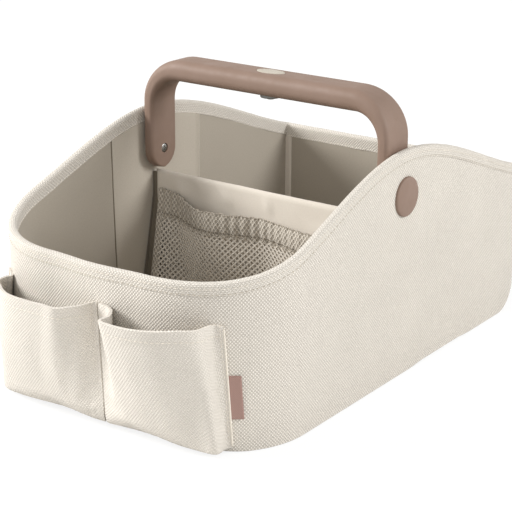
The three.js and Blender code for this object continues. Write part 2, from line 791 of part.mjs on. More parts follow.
// Pivot hardware
const FLANGE_NEAR = PIVOT_WALL + leanGap(BUSH_FLANGE_DIAMETER);
const FLANGE_FAR = FLANGE_NEAR + BUSH_FLANGE;
const CAP_NEAR = PIVOT_WALL + leanGap(CAP_DIAMETER);
const CAP_FAR = CAP_NEAR + CAP_THICKNESS;
const CAP_RECESS = FLANGE_FAR + CLEARANCE;
const BOSS_END = LEG_OUTER - BOSS_SEAT_DEPTH;
const SEAT_BOTTOM = BOSS_END - CLEARANCE;
const PILOT_RADIUS = SCREW_DIAMETER / 2 + CLEARANCE;
const SCREW_HEAD_NEAR = LEG_INNER + SCREW_HEAD_SINK;
const SCREW_HEAD_FAR = SCREW_HEAD_NEAR + SCREW_HEAD_HEIGHT;
const SCREW_END = SCREW_HEAD_FAR + SCREW_LENGTH;

function pivotCap(hand) {
  const radius = CAP_DIAMETER / 2;
  const recess = BUSH_FLANGE_DIAMETER / 2 + CLEARANCE;
  const boss = BOSS_DIAMETER / 2;
  const dome = shares(DOME_STEPS).map((share) => {
    const angle = share * Math.PI / 2;
    return [CAP_FAR - CAP_DOME * (1 - Math.cos(angle)), radius * Math.sin(angle)];
  });
  return turnedOnPivot(hand, [
    ...dome,
    [CAP_NEAR, radius],
    [CAP_NEAR, recess],
    [CAP_RECESS, recess],
    [CAP_RECESS, boss],
    [BOSS_END, boss],
    [BOSS_END, PILOT_RADIUS],
    [SCREW_END + CLEARANCE, PILOT_RADIUS],
    [SCREW_END + CLEARANCE, 0],
  ]);
}

function pivotBush(hand) {
  const bore = BOSS_DIAMETER / 2 + CLEARANCE;
  const barrel = BUSH_DIAMETER / 2;
  const flange = BUSH_FLANGE_DIAMETER / 2;
  return turnedOnPivot(hand, [
    [RING_NEAR, bore], [RING_NEAR, barrel], [FLANGE_NEAR, barrel], [FLANGE_NEAR, flange],
    [FLANGE_FAR, flange], [FLANGE_FAR, bore], [RING_NEAR, bore],
  ]);
}

function backingRing(hand) {
  const bore = BUSH_DIAMETER / 2 + CLEARANCE;
  const rim = RING_DIAMETER / 2;
  return turnedOnPivot(hand, [
    [RING_NEAR, bore], [RING_NEAR, rim], [RING_FAR, rim], [RING_FAR, bore], [RING_NEAR, bore],
  ]);
}

function pivotScrew(hand) {
  const head = SCREW_HEAD_DIAMETER / 2;
  const shank = SCREW_DIAMETER / 2;
  return turnedOnPivot(hand, [
    [SCREW_HEAD_NEAR, 0], [SCREW_HEAD_NEAR, head], [SCREW_HEAD_FAR, head],
    [SCREW_HEAD_FAR, shank], [SCREW_END, shank], [SCREW_END, 0],
  ], SMALL_ROUND_STEPS);
}

// Handle: one moulding, thick across the bar and thinner down the legs, with round leg ends
const LEG_END_RADIUS = HANDLE_WIDTH / 2;
const LEG_END_ANGLE = 82;
const LEG_END_EDGE_SHARE = 0.8;
const LEG_END_STEPS = 5;
const LEG_STEPS = 2;
const HANDLE_CORNER_STEPS = 7;
const HANDLE_EDGE_STEPS = 3;

// Half of the handle, from a leg's end to the middle of the bar
function handleStations(hand) {
  const outerTurn = HANDLE_TOP - HANDLE_OUTER_RADIUS;
  const innerTurn = BAR_UNDER - HANDLE_INNER_RADIUS;
  const ends = shares(LEG_END_STEPS).slice(0, -1).map((share) => {
    const angle = THREE.MathUtils.lerp(radians(LEG_END_ANGLE), 0, share);
    const height = PIVOT_HEIGHT - LEG_END_RADIUS * Math.sin(angle);
    return straightStation(height, height, LEG_END_RADIUS * Math.cos(angle));
  });
  const legs = shares(LEG_STEPS).map((share) => straightStation(
    THREE.MathUtils.lerp(PIVOT_HEIGHT, outerTurn, share),
    THREE.MathUtils.lerp(PIVOT_HEIGHT, innerTurn, share),
    HANDLE_WIDTH / 2,
  ));
  const corner = shares(HANDLE_CORNER_STEPS).slice(1).map((share) => {
    const angle = share * Math.PI / 2;
    const outerX = LEG_OUTER - HANDLE_OUTER_RADIUS * (1 - Math.cos(angle));
    const outerZ = outerTurn + HANDLE_OUTER_RADIUS * Math.sin(angle);
    const innerX = LEG_INNER - HANDLE_INNER_RADIUS * (1 - Math.cos(angle));
    const innerZ = innerTurn + HANDLE_INNER_RADIUS * Math.sin(angle);
    return {
      outer: [outerX, outerZ],
      inner: [innerX, innerZ],
      half: HANDLE_WIDTH / 2,
      edge: THREE.MathUtils.lerp(LEG_EDGE, BAR_EDGE, THREE.MathUtils.smoothstep(share, 0, 1)),
    };
  });
  return [...ends, ...legs, ...corner].map((station) => handleRing(hand, station));
}

function straightStation(outerHeight, innerHeight, half) {
  const edge = Math.min(LEG_EDGE, half * LEG_END_EDGE_SHARE);
  return { outer: [LEG_OUTER, outerHeight], inner: [LEG_INNER, innerHeight], half, edge };
}

// Rounded section between an outer and an inner point
function handleRing(hand, { outer, inner, half, edge }) {
  const thickness = Math.hypot(outer[0] - inner[0], outer[1] - inner[1]);
  const corner = (cornerX, cornerY, start) => shares(HANDLE_EDGE_STEPS).map((share) => {
    const angle = start + share * Math.PI / 2;
    return [cornerX + edge * Math.cos(angle), cornerY + edge * Math.sin(angle)];
  });
  const x = thickness / 2 - edge;
  const y = half - edge;
  const section = [
    ...corner(x, y, 0), ...corner(-x, y, Math.PI / 2),
    ...corner(-x, -y, Math.PI), ...corner(x, -y, 3 * Math.PI / 2),
  ];
  return section.map(([across, wide]) => {
    const share = across / thickness + 0.5;
    return new THREE.Vector3(
      hand * THREE.MathUtils.lerp(inner[0], outer[0], share),
      PIVOT_PLACE + wide,
      THREE.MathUtils.lerp(inner[1], outer[1], share),
    );
  });
}

const BAY_END = CENTRE_BAY_LENGTH / 2 + BAY_RIB + 4 * CLEARANCE + 2 * CONTACT_THICKNESS
  + CELL_LENGTH + CELL_NUB_LENGTH + CONTACT_BUMP_LENGTH;
const CELL_BAY_START = CENTRE_BAY_LENGTH / 2 + BAY_RIB;
const DOOR_START = CENTRE_BAY_LENGTH / 2 + CLEARANCE;
const DOOR_SCREW_PLACE = BAY_END + DOOR_SCREW_MARGIN;
const DOOR_END = DOOR_SCREW_PLACE + DOOR_SCREW_MARGIN;
const DOOR_TOP = BAR_UNDER + DOOR_THICKNESS;
const DOOR_HOLE = DOOR_SCREW_DIAMETER + 2 * CLEARANCE;

function span(hand, near, far) {
  return hand < 0 ? [-far, -near] : [near, far];
}

// Box in the bar between two distances from the middle, centred on its width
function barBlock(hand, near, far, width, low, high) {
  const [left, right] = span(hand, near, far);
  return block(
    [left, PIVOT_PLACE - width / 2, low],
    [right, PIVOT_PLACE + width / 2, high],
  );
}

function handleShell() {
  const body = loft([...handleStations(1), ...handleStations(-1).reverse()]);
  const centre = block(
    [-CENTRE_BAY_LENGTH / 2, PIVOT_PLACE - CENTRE_BAY_WIDTH / 2, BAR_UNDER - OVERRUN],
    [CENTRE_BAY_LENGTH / 2, PIVOT_PLACE + CENTRE_BAY_WIDTH / 2, BAR_CEILING],
  );
  const buttonHole = post(0, PIVOT_PLACE, BAR_CEILING - OVERRUN, HANDLE_TOP + OVERRUN,
    BUTTON_LENGTH + 2 * CLEARANCE, BUTTON_WIDTH + 2 * CLEARANCE, ROUND_STEPS);
  const sides = [-1, 1].flatMap((hand) => [...batteryBay(hand), ...pivotSeat(hand)]);
  return cut(body, [centre, buttonHole, ...sides]);
}

// Cutters for a cell, its door and the door's screw
function batteryBay(hand) {
  const low = BAR_UNDER - OVERRUN;
  const [near, far] = [DOOR_START - CLEARANCE, DOOR_END + CLEARANCE];
  const width = DOOR_WIDTH + 2 * CLEARANCE;
  return [
    barBlock(hand, CELL_BAY_START, BAY_END, CELL_BAY_WIDTH, low, BAR_CEILING),
    barBlock(hand, near, far, width, low, DOOR_TOP + CLEARANCE),
    post(hand * DOOR_SCREW_PLACE, PIVOT_PLACE, DOOR_TOP, DOOR_TOP + DOOR_SCREW_LENGTH, DOOR_HOLE),
  ];
}

// Cutters for the cap's boss on the outside of a leg and for the screw from its inside
function pivotSeat(hand) {
  const inner = LEG_INNER - OVERRUN;
  const head = SCREW_HEAD_DIAMETER + 2 * CLEARANCE;
  return [
    crossBar(hand, SEAT_BOTTOM, LEG_OUTER + OVERRUN, BOSS_DIAMETER + 2 * CLEARANCE),
    crossBar(hand, inner, SEAT_BOTTOM + OVERRUN, SCREW_DIAMETER + 2 * CLEARANCE),
    crossBar(hand, inner, SCREW_HEAD_FAR + CLEARANCE, head),
  ];
}

function batteryDoor(hand) {
  const plate = barBlock(hand, DOOR_START, DOOR_END, DOOR_WIDTH, BAR_UNDER, DOOR_TOP);
  const x = hand * DOOR_SCREW_PLACE;
  const low = BAR_UNDER - OVERRUN;
  const sink = BAR_UNDER + DOOR_SCREW_HEAD_HEIGHT + CLEARANCE;
  return cut(plate, [
    post(x, PIVOT_PLACE, low, DOOR_TOP + OVERRUN, DOOR_HOLE),
    post(x, PIVOT_PLACE, low, sink, DOOR_SCREW_HEAD_DIAMETER + 2 * CLEARANCE),
  ]);
}

function doorScrew(hand) {
  const x = hand * DOOR_SCREW_PLACE;
  const head = BAR_UNDER + DOOR_SCREW_HEAD_HEIGHT;
  const neck = BAR_UNDER + DOOR_SCREW_HEAD_HEIGHT / 2;
  return join([
    post(x, PIVOT_PLACE, BAR_UNDER, head, DOOR_SCREW_HEAD_DIAMETER),
    post(x, PIVOT_PLACE, neck, head + DOOR_SCREW_LENGTH, DOOR_SCREW_DIAMETER),
  ]);
}

const CELL_HEIGHT = DOOR_TOP + CLEARANCE + CELL_DIAMETER / 2;
const CELL_NEAR = CELL_BAY_START + 2 * CLEARANCE + CONTACT_THICKNESS;
const CELL_FAR = CELL_NEAR + CELL_LENGTH;
const OUTER_CONTACT_FAR = BAY_END - CLEARANCE;

// Round bar along X at the height of the cells, between two distances from the middle
function barCylinder(hand, near, far, diameter) {
  const radius = diameter / 2;
  const geometry = new THREE.CylinderGeometry(radius, radius, far - near, SMALL_ROUND_STEPS);
  geometry.rotateZ(Math.PI / 2);
  return geometry.translate(hand * (near + far) / 2, PIVOT_PLACE, CELL_HEIGHT);
}

// Cell whose nub points to the bar's end
function cell(hand) {
  return join([
    barCylinder(hand, CELL_NEAR, CELL_FAR, CELL_DIAMETER),
    barCylinder(hand, CELL_FAR - CELL_NUB_LENGTH, CELL_FAR + CELL_NUB_LENGTH, CELL_NUB_DIAMETER),
  ]);
}

function contactPlate(hand, near) {
  const low = CELL_HEIGHT - CONTACT_WIDTH / 2;
  return barBlock(hand, near, near + CONTACT_THICKNESS, CONTACT_WIDTH, low, low + CONTACT_WIDTH);
}

function innerContact(hand) {
  return contactPlate(hand, CELL_BAY_START + CLEARANCE);
}

function outerContact(hand) {
  const near = OUTER_CONTACT_FAR - CONTACT_THICKNESS;
  const middle = near + CONTACT_THICKNESS / 2;
  return join([
    contactPlate(hand, near),
    barCylinder(hand, near - CONTACT_BUMP_LENGTH, middle, CONTACT_BUMP_DIAMETER),
  ]);
}

// Light unit under the middle of the bar
const COVER_HALF = CENTRE_BAY_LENGTH / 2 - CLEARANCE;
const COVER_TOP = BAR_UNDER + DOOR_THICKNESS;
const BOARD_LOW = COVER_TOP + BOARD_POST_HEIGHT + CLEARANCE;
const BOARD_HIGH = BOARD_LOW + BOARD_THICKNESS;
const POST_PLACE = BOARD_LENGTH / 2 - BOARD_POST_DIAMETER;

function lightCover() {
  const plate = block(
    [-COVER_HALF, PIVOT_PLACE - DOOR_WIDTH / 2, BAR_UNDER],
    [COVER_HALF, PIVOT_PLACE + DOOR_WIDTH / 2, COVER_TOP],
  );
  const low = BAR_UNDER - BEZEL_PROUD;
  const bezel = post(0, PIVOT_PLACE, low, COVER_TOP, BEZEL_DIAMETER);
  const [postLow, postHigh] = [COVER_TOP - DOOR_THICKNESS / 2, COVER_TOP + BOARD_POST_HEIGHT];
  const posts = [-1, 1].map((hand) => (
    post(hand * POST_PLACE, PIVOT_PLACE, postLow, postHigh, BOARD_POST_DIAMETER)));
  const opening = LENS_DIAMETER + 2 * CLEARANCE;
  const hole = post(0, PIVOT_PLACE, low - OVERRUN, COVER_TOP + OVERRUN, opening);
  return cut(join([plate, bezel, ...posts]), [hole]);
}

// Clear lens with a flange above the cover and a shallow dome below it
function lens() {
  const radius = LENS_DIAMETER / 2;
  const flange = LENS_FLANGE_DIAMETER / 2;
  const seat = COVER_TOP + CLEARANCE;
  const low = BAR_UNDER - LENS_PROUD;
  const domeRise = LENS_PROUD / 2;
  const dome = shares(DOME_STEPS).map((share) => {
    const angle = share * Math.PI / 2;
    return new THREE.Vector2(radius * Math.sin(angle), low + domeRise * (1 - Math.cos(angle)));
  });
  const profile = [
    ...dome,
    new THREE.Vector2(radius, seat),
    new THREE.Vector2(flange, seat),
    new THREE.Vector2(flange, seat + LENS_FLANGE),
    new THREE.Vector2(0, seat + LENS_FLANGE),
  ];
  const geometry = new THREE.LatheGeometry(profile, SMALL_ROUND_STEPS);
  return turned(geometry.rotateX(Math.PI / 2).translate(0, PIVOT_PLACE, 0));
}

function circuitBoard() {
  return block(
    [-BOARD_LENGTH / 2, PIVOT_PLACE - BOARD_WIDTH / 2, BOARD_LOW],
    [BOARD_LENGTH / 2, PIVOT_PLACE + BOARD_WIDTH / 2, BOARD_HIGH],
  );
}

function led() {
  const high = BOARD_LOW - CLEARANCE;
  return block(
    [-LED_SIZE / 2, PIVOT_PLACE - LED_SIZE / 2, high - LED_HEIGHT],
    [LED_SIZE / 2, PIVOT_PLACE + LED_SIZE / 2, high],
  );
}

// Button with a flange under the bar's top wall, over a small push switch
const FLANGE_TOP = BAR_CEILING - CLEARANCE;
const FLANGE_LOW = FLANGE_TOP - BUTTON_FLANGE_HEIGHT;
const PLUNGER_TOP = FLANGE_LOW - BUTTON_TRAVEL - CLEARANCE;

function pushSwitch() {
  const low = BOARD_HIGH + CLEARANCE;
  const body = block(
    [-SWITCH_SIZE / 2, PIVOT_PLACE - SWITCH_SIZE / 2, low],
    [SWITCH_SIZE / 2, PIVOT_PLACE + SWITCH_SIZE / 2, low + SWITCH_HEIGHT],
  );
  return join([body, post(0, PIVOT_PLACE, low + SWITCH_HEIGHT / 2, PLUNGER_TOP, PLUNGER_DIAMETER)]);
}

function button() {
  const flangeLength = BUTTON_LENGTH + 2 * BUTTON_FLANGE_WIDTH;
  const flangeWidth = BUTTON_WIDTH + 2 * BUTTON_FLANGE_WIDTH;
  const top = HANDLE_TOP + BUTTON_PROUD;
  const shoulder = HANDLE_TOP - BUTTON_PROUD;
  const low = BUTTON_LENGTH / 2;
  const high = low * BUTTON_CROWN_SHARE;
  const crown = new THREE.CylinderGeometry(high, low, top - shoulder, ROUND_STEPS);
  crown.rotateX(Math.PI / 2).scale(1, BUTTON_WIDTH / BUTTON_LENGTH, 1);
  crown.translate(0, PIVOT_PLACE, (top + shoulder) / 2);
  return join([
    post(0, PIVOT_PLACE, FLANGE_LOW, FLANGE_TOP, flangeLength, flangeWidth, ROUND_STEPS),
    post(0, PIVOT_PLACE, FLANGE_LOW, shoulder, BUTTON_LENGTH, BUTTON_WIDTH, ROUND_STEPS),
    crown,
  ]);
}

const caddy = new THREE.Group();

function add(name, geometry, look) {
  const mesh = new THREE.Mesh(geometry, look);
  mesh.name = name;
  caddy.add(mesh);
}

add('outer_wrap', pivotedWalls(WRAP), MATERIALS.weave);
add('back_panel', backLayer(WRAP), MATERIALS.weave);
add('base_panel', baseLayer(WRAP), MATERIALS.weave);
add('rim_binding', rimBinding(), MATERIALS.binding);
add('front_board', frontBoard(), MATERIALS.stiffener);
add('left_board', sideBoard(-1), MATERIALS.stiffener);
add('right_board', sideBoard(1), MATERIALS.stiffener);
add('back_board', backLayer(BOARD), MATERIALS.stiffener);
add('base_board', baseLayer(BOARD), MATERIALS.stiffener);
add('lining_walls', pivotedWalls(LINER), MATERIALS.lining);
add('lining_back', backLayer(LINER), MATERIALS.lining);
add('lining_floor', baseLayer(LINER), MATERIALS.lining);
add('divider_cover', dividerCover(), MATERIALS.divider);
add('divider_board', dividerBoard(), MATERIALS.stiffener);
add('mesh_pocket_net', net(), MATERIALS.net);
add('mesh_pocket_band', netBand(), MATERIALS.net);
add('mesh_pocket_left_tape', netSideTape(-1), MATERIALS.net);
add('mesh_pocket_right_tape', netSideTape(1), MATERIALS.net);
add('mesh_pocket_foot_tape', netFootTape(), MATERIALS.net);
add('label_tab', labelTab(), MATERIALS.tab);
add('handle_shell', handleShell(), MATERIALS.handle);
add('light_cover', lightCover(), MATERIALS.handle);
add('light_lens', lens(), MATERIALS.lens);
add('light_led', led(), MATERIALS.led);
add('circuit_board', circuitBoard(), MATERIALS.board);
add('push_switch', pushSwitch(), MATERIALS.nylon);
add('light_button', button(), MATERIALS.button);

for (const [side, hand] of [['left', -1], ['right', 1]]) {
  add(`${side}_pocket`, pocket(hand), MATERIALS.weave);
  add(`${side}_side_panel`, sidePanel(hand), MATERIALS.panel);
  add(`${side}_pivot_cap`, pivotCap(hand), MATERIALS.handle);
  add(`${side}_pivot_bush`, pivotBush(hand), MATERIALS.nylon);
  add(`${side}_backing_ring`, backingRing(hand), MATERIALS.nylon);
  add(`${side}_pivot_screw`, pivotScrew(hand), MATERIALS.steel);
  add(`${side}_battery_door`, batteryDoor(hand), MATERIALS.handle);
  add(`${side}_door_screw`, doorScrew(hand), MATERIALS.steel);
  add(`${side}_cell`, cell(hand), MATERIALS.cell);
  add(`${side}_inner_contact`, innerContact(hand), MATERIALS.steel);
  add(`${side}_outer_contact`, outerContact(hand), MATERIALS.steel);
}

export default caddy;
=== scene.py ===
import math
from collections import namedtuple
import bmesh
import bpy
import numpy as np
from mathutils import Matrix, Vector, noise

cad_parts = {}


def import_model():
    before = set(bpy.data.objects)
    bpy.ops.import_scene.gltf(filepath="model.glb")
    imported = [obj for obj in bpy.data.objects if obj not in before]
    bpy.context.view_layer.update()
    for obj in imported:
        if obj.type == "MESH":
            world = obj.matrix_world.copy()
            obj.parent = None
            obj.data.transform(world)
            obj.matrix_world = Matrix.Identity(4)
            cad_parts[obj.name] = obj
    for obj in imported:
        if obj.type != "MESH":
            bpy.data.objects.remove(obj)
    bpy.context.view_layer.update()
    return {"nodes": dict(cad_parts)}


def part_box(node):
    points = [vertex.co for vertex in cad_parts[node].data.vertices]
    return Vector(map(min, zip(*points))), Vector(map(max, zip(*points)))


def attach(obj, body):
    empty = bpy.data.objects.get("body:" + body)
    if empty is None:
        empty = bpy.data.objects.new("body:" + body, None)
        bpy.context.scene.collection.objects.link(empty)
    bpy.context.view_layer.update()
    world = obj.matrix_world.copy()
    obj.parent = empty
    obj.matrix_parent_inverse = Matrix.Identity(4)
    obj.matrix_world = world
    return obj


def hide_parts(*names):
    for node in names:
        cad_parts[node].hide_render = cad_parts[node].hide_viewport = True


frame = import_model()

# Lengths are in millimetres until a mesh is made
MM = 0.001
GAP = 0.3
QUARTER = math.pi / 2
SIDES = ((-1, "left"), (1, "right"))

# The tub's sizes, as the frame has them
BODY_LENGTH = 330
FRONT_WIDTH, BACK_WIDTH = 211, 198
FRONT_RIM, PEAK, BACK_RIM = 102, 148.7, 105.6
PEAK_PLACE = 10
CORNER_ACROSS, CORNER_ALONG = 69, 62
FRONT_BOW = 2.5
FRONT_FOOT, BACK_FOOT, SIDE_FOOT_STEP = 16, 18, 3
FRONT_FOOT_ANGLE = math.radians(34)
FRONT_EDGE, BACK_EDGE = -BODY_LENGTH / 2, BODY_LENGTH / 2
CORNER_START = FRONT_EDGE + CORNER_ALONG
BACK_FOOT_START = BACK_EDGE - BACK_FOOT

# Depths of the layers, inwards from the outer surface
WRAP_IN, LINER_OUT, LINER_IN, PANEL_IN = 0.8, 2.6, 3.2, 4.1
BINDING_OUT, BINDING_IN = -1.1, 4.3
UNDER_BINDING = 1.1

# The pivots and the handle
PIVOT_Y, PIVOT_Z = 7, 119.6
HANDLE_TOP, HANDLE_WIDTH = 184, 26.4
BAR_THICKNESS, LEG_THICKNESS = 14.2, 8
OUTER_TURN, INNER_TURN = 30, 18
BAR_EDGE, LEG_EDGE = 6.2, 3
PIVOT_HOLE = 6.5
LEG_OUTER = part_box("handle_shell")[1].x / MM
LEG_INNER = LEG_OUTER - LEG_THICKNESS
BAR_UNDER = HANDLE_TOP - BAR_THICKNESS

# Sizes that the cloths were cut to, across and up
ARCH_ALLOWANCE, WALL_CUT = 60, 150
BACK_CUT, BACK_LINING_CUT = 121, 119
BASE_CUT, FLOOR_CUT = (207, 293), (203, 293)
PANEL_CUT, FLANGE_CUT, FOOT_TAPE_CUT = (91, 136), (100, 16), (183, 11.2)
BAND_CUT, POCKET_CUT, TAB_WIDTH = 16.5, 92, 7.8


def smoothstep(x, low, high):
    t = np.clip((x - low) / (high - low), 0, 1)
    return t * t * (3 - 2 * t)


def mix(a, b, share):
    return a + (b - a) * share


def spaced(count, first=0.0, last=1.0):
    return np.linspace(first, last, count + 1)


def soft(point, scale, seed=0):
    """Smooth noise from -1 to 1 with bumps about scale millimetres across."""
    return noise.noise(Vector(point) / scale + Vector((seed * 7.3, seed * 3.1, seed * 5.7)))


def run_along(points):
    """Distances along a row of points from its first one."""
    return np.concatenate([[0], np.cumsum(np.linalg.norm(np.diff(points, axis=0), axis=1))])


def span_of(node, grow=0):
    low, high = (np.array(corner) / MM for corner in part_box(node))
    return low - grow, high + grow


def half_width(along):
    return mix(BACK_WIDTH, FRONT_WIDTH, (BODY_LENGTH / 2 - along) / BODY_LENGTH) / 2


CORNER_MIDDLE = half_width(CORNER_START) - CORNER_ACROSS


def rim_height(along):
    if along < PEAK_PLACE:
        return mix(FRONT_RIM, PEAK, smoothstep(along, FRONT_EDGE, PEAK_PLACE))
    run = (along - PEAK_PLACE) / (BACK_EDGE - PEAK_PLACE)
    return mix(PEAK, BACK_RIM, run * run * (2 - run))


def link(made):
    bpy.context.scene.collection.objects.link(made)
    return made


# Camera, from the fit of the photograph

bpy.context.scene.view_settings.view_transform = "Standard"
camera = link(bpy.data.objects.new("camera", bpy.data.cameras.new("camera")))
bpy.context.scene.camera = camera
AZIMUTH, DOWN, ROLL = (math.radians(angle) for angle in (36.16, 18.64, 0.42))
camera.data.sensor_width = 36
camera.data.lens = 110.93
camera.data.clip_start = 0.05
forward = Vector((-math.sin(AZIMUTH) * math.cos(DOWN), math.cos(AZIMUTH) * math.cos(DOWN),
                  -math.sin(DOWN)))
right = Vector((math.cos(AZIMUTH), math.sin(AZIMUTH), 0))
up = right.cross(forward)
turn = Matrix((right, up, -forward)).transposed() @ Matrix.Rotation(ROLL, 3, "Z")
camera.matrix_world = Matrix.Translation((0.5778, -0.7983, 0.3941)) @ turn.to_4x4()


# Meshes

def add_object(name, points, faces, corners=None, sharp=40):
    """Object with its faces turned outwards, and only edges steeper than sharp left sharp."""
    mesh = bpy.data.meshes.new(name)
    mesh.from_pydata((np.asarray(points, float) * MM).tolist(), [], faces)
    if corners is not None:
        layer = mesh.uv_layers.new(name="cloth")
        layer.data.foreach_set("uv", (np.asarray(corners, float) * MM).ravel())
    made = bmesh.new()
    made.from_mesh(mesh)
    loose = [v for v in made.verts if not v.link_faces]
    bmesh.ops.delete(made, geom=loose, context="VERTS")
    bmesh.ops.recalc_face_normals(made, faces=made.faces)
    made.to_mesh(mesh)
    made.free()
    mesh.polygons.foreach_set("use_smooth", [True] * len(mesh.polygons))
    mesh.set_sharp_from_angle(angle=math.radians(sharp))
    mesh.update()
    return link(bpy.data.objects.new(name, mesh))


def slab(name, outer, inner, uv, keep=None, sharp=50):
    """Closed sheet between two grids of points. keep marks the cells that aren't holes."""
    rows, cols = outer.shape[:2]
    keep = np.ones((rows - 1, cols - 1), bool) if keep is None else keep
    kept = np.pad(keep, 1)
    faces, corners = [], []

    def face(*places):
        faces.append([side * rows * cols + i * cols + j for i, j, side in places])
        corners.extend(uv[i, j] for i, j, _ in places)

    for i, j in np.argwhere(keep).tolist():
        here, right_of, above, across = (i, j), (i, j + 1), (i + 1, j), (i + 1, j + 1)
        face((*here, 0), (*right_of, 0), (*across, 0), (*above, 0))
        face((*here, 1), (*above, 1), (*across, 1), (*right_of, 1))
        for a, b, row, col in ((here, right_of, i, j + 1), (across, above, i + 2, j + 1),
                               (above, here, i + 1, j), (right_of, across, i + 1, j + 2)):
            if not kept[row, col]:
                face((*a, 0), (*a, 1), (*b, 1), (*b, 0))
    points = np.concatenate([outer.reshape(-1, 3), inner.reshape(-1, 3)])
    return add_object(name, points, faces, corners, sharp)


def two_faced(name, rows, columns, points, sharp=50, hole=0):
    """Closed sheet whose points on both faces come from points(row, column)."""
    pairs = np.array([[points(row, column) for column in columns] for row in rows])
    seen, behind = pairs[:, :, 0].copy(), pairs[:, :, 1].copy()
    keep = pivot_hole(seen, hole) if hole else None
    return slab(name, seen, behind, sheet_uv(seen), keep, sharp), seen


def grid_normals(grid):
    normal = np.cross(np.gradient(grid, axis=1), np.gradient(grid, axis=0))
    return normal / np.maximum(np.linalg.norm(normal, axis=2, keepdims=True), 1e-9)


def sheet_uv(grid):
    """Lengths along the rows and up the columns, so that a weave keeps its scale."""
    rise = np.cumsum(np.linalg.norm(np.diff(grid, axis=0), axis=2), axis=0)
    rise = np.concatenate([np.zeros((1, grid.shape[1])), rise])
    return np.dstack([np.broadcast_to(run_along(grid[len(grid) // 2]), rise.shape), rise])


def plan_uv(points, faces, axes):
    return [[points[k][axis] for axis in axes] for face in faces for k in face]


def ring_faces(count, size, first=0, closed=False):
    """Faces that join rings of points in turn, with an end face at each end unless closed."""
    faces = []
    for r in range(count if closed else count - 1):
        low, high = first + r * size, first + (r + 1) % count * size
        faces += [[low + i, low + (i + 1) % size, high + (i + 1) % size, high + i]
                  for i in range(size)]
    if not closed:
        faces += [list(range(end, end + size)) for end in (first, first + (count - 1) * size)]
    return faces


def loft(name, rings, sharp=40, plan=False):
    """Closed solid through rings of points, with a flat end at each end."""
    rings = np.asarray(rings, float)
    points, faces = rings.reshape(-1, 3), ring_faces(*rings.shape[:2])
    return add_object(name, points, faces, plan_uv(points, faces, (0, 1)) if plan else None, sharp)


def rounded(profile, steps=5):
    """Profile of (out, radius) or (out, radius, fillet) as points, with the fillets rounded."""
    points = []
    for k, (out, radius, *fillet) in enumerate(profile):
        if not fillet or k in (0, len(profile) - 1):
            points.append((out, radius))
            continue
        here = Vector((out, radius))
        before, after = ((Vector(profile[m][:2]) - here).normalized() * fillet[0]
                         for m in (k - 1, k + 1))
        for t in spaced(steps):
            points.append(tuple(here + before * (1 - t) ** 2 + after * t ** 2))
    return points


def turned(name, profile, centre, axis, scale=(1, 1), steps=64):
    """Solid turned about an upright axis or one along X. profile is as in rounded."""
    axis, side = Vector(axis), Vector((0, 1, 0))
    other = axis.cross(side)
    points, rows, faces = [], [], []
    for out, radius in rounded(profile):
        rows.append([])
        for k in range(1 if radius == 0 else steps):
            angle = 2 * math.pi * k / steps
            offset = side * math.cos(angle) * scale[0] + other * math.sin(angle) * scale[1]
            rows[-1].append(len(points))
            points.append(Vector(centre) + axis * out + offset * radius)
    for low, high in zip(rows, rows[1:]):
        for k in range(steps):
            after = (k + 1) % steps
            kept = list(dict.fromkeys([low[k % len(low)], low[after % len(low)],
                                       high[after % len(high)], high[k % len(high)]]))
            if len(kept) > 2:
                faces.append(kept)
    return add_object(name, [list(p) for p in points], faces)


def box_object(name, low, high):
    corners = [(x, y, z) for x in (low[0], high[0]) for y in (low[1], high[1])
               for z in (low[2], high[2])]
    faces = [[0, 1, 3, 2], [4, 6, 7, 5], [0, 4, 5, 1], [2, 3, 7, 6], [0, 2, 6, 4], [1, 5, 7, 3]]
    return add_object(name, corners, faces)


def carve(piece, cutters, sharp=35):
    """Cuts the cutters out of a piece, and bakes the result into its mesh."""
    for cutter in cutters:
        cut = piece.modifiers.new(cutter.name, "BOOLEAN")
        cut.operation = "DIFFERENCE"
        cut.solver = "EXACT"
        cut.object = cutter
    bpy.context.view_layer.update()
    graph = bpy.context.evaluated_depsgraph_get()
    mesh = bpy.data.meshes.new_from_object(piece.evaluated_get(graph))
    piece.modifiers.clear()
    piece.data = mesh
    for cutter in cutters:
        bpy.data.objects.remove(cutter)
    mesh.set_sharp_from_angle(angle=math.radians(sharp))


def tube_along(name, path, radius, steps=8):
    """Round strand along a list of points."""
    path = np.asarray(path, float)
    tangent = np.gradient(path, axis=0)
    tangent /= np.linalg.norm(tangent, axis=1, keepdims=True)
    side = np.cross(tangent, (0, 0, 1.0))
    weak = np.linalg.norm(side, axis=1) < 0.1
    side[weak] = np.cross(tangent[weak], (1.0, 0, 0))
    side /= np.linalg.norm(side, axis=1, keepdims=True)
    other = np.cross(side, tangent)
    return loft(name, [[path[k] + radius * (math.cos(a) * side[k] + math.sin(a) * other[k])
                        for a in spaced(steps, 0, 2 * math.pi)[:-1]] for k in range(len(path))])


# A stitch's stations along it, and its thickness there
STITCH = ((0, 0.15), (0.12, 0.75), (0.35, 1), (0.65, 1), (0.88, 0.75), (1, 0.15))


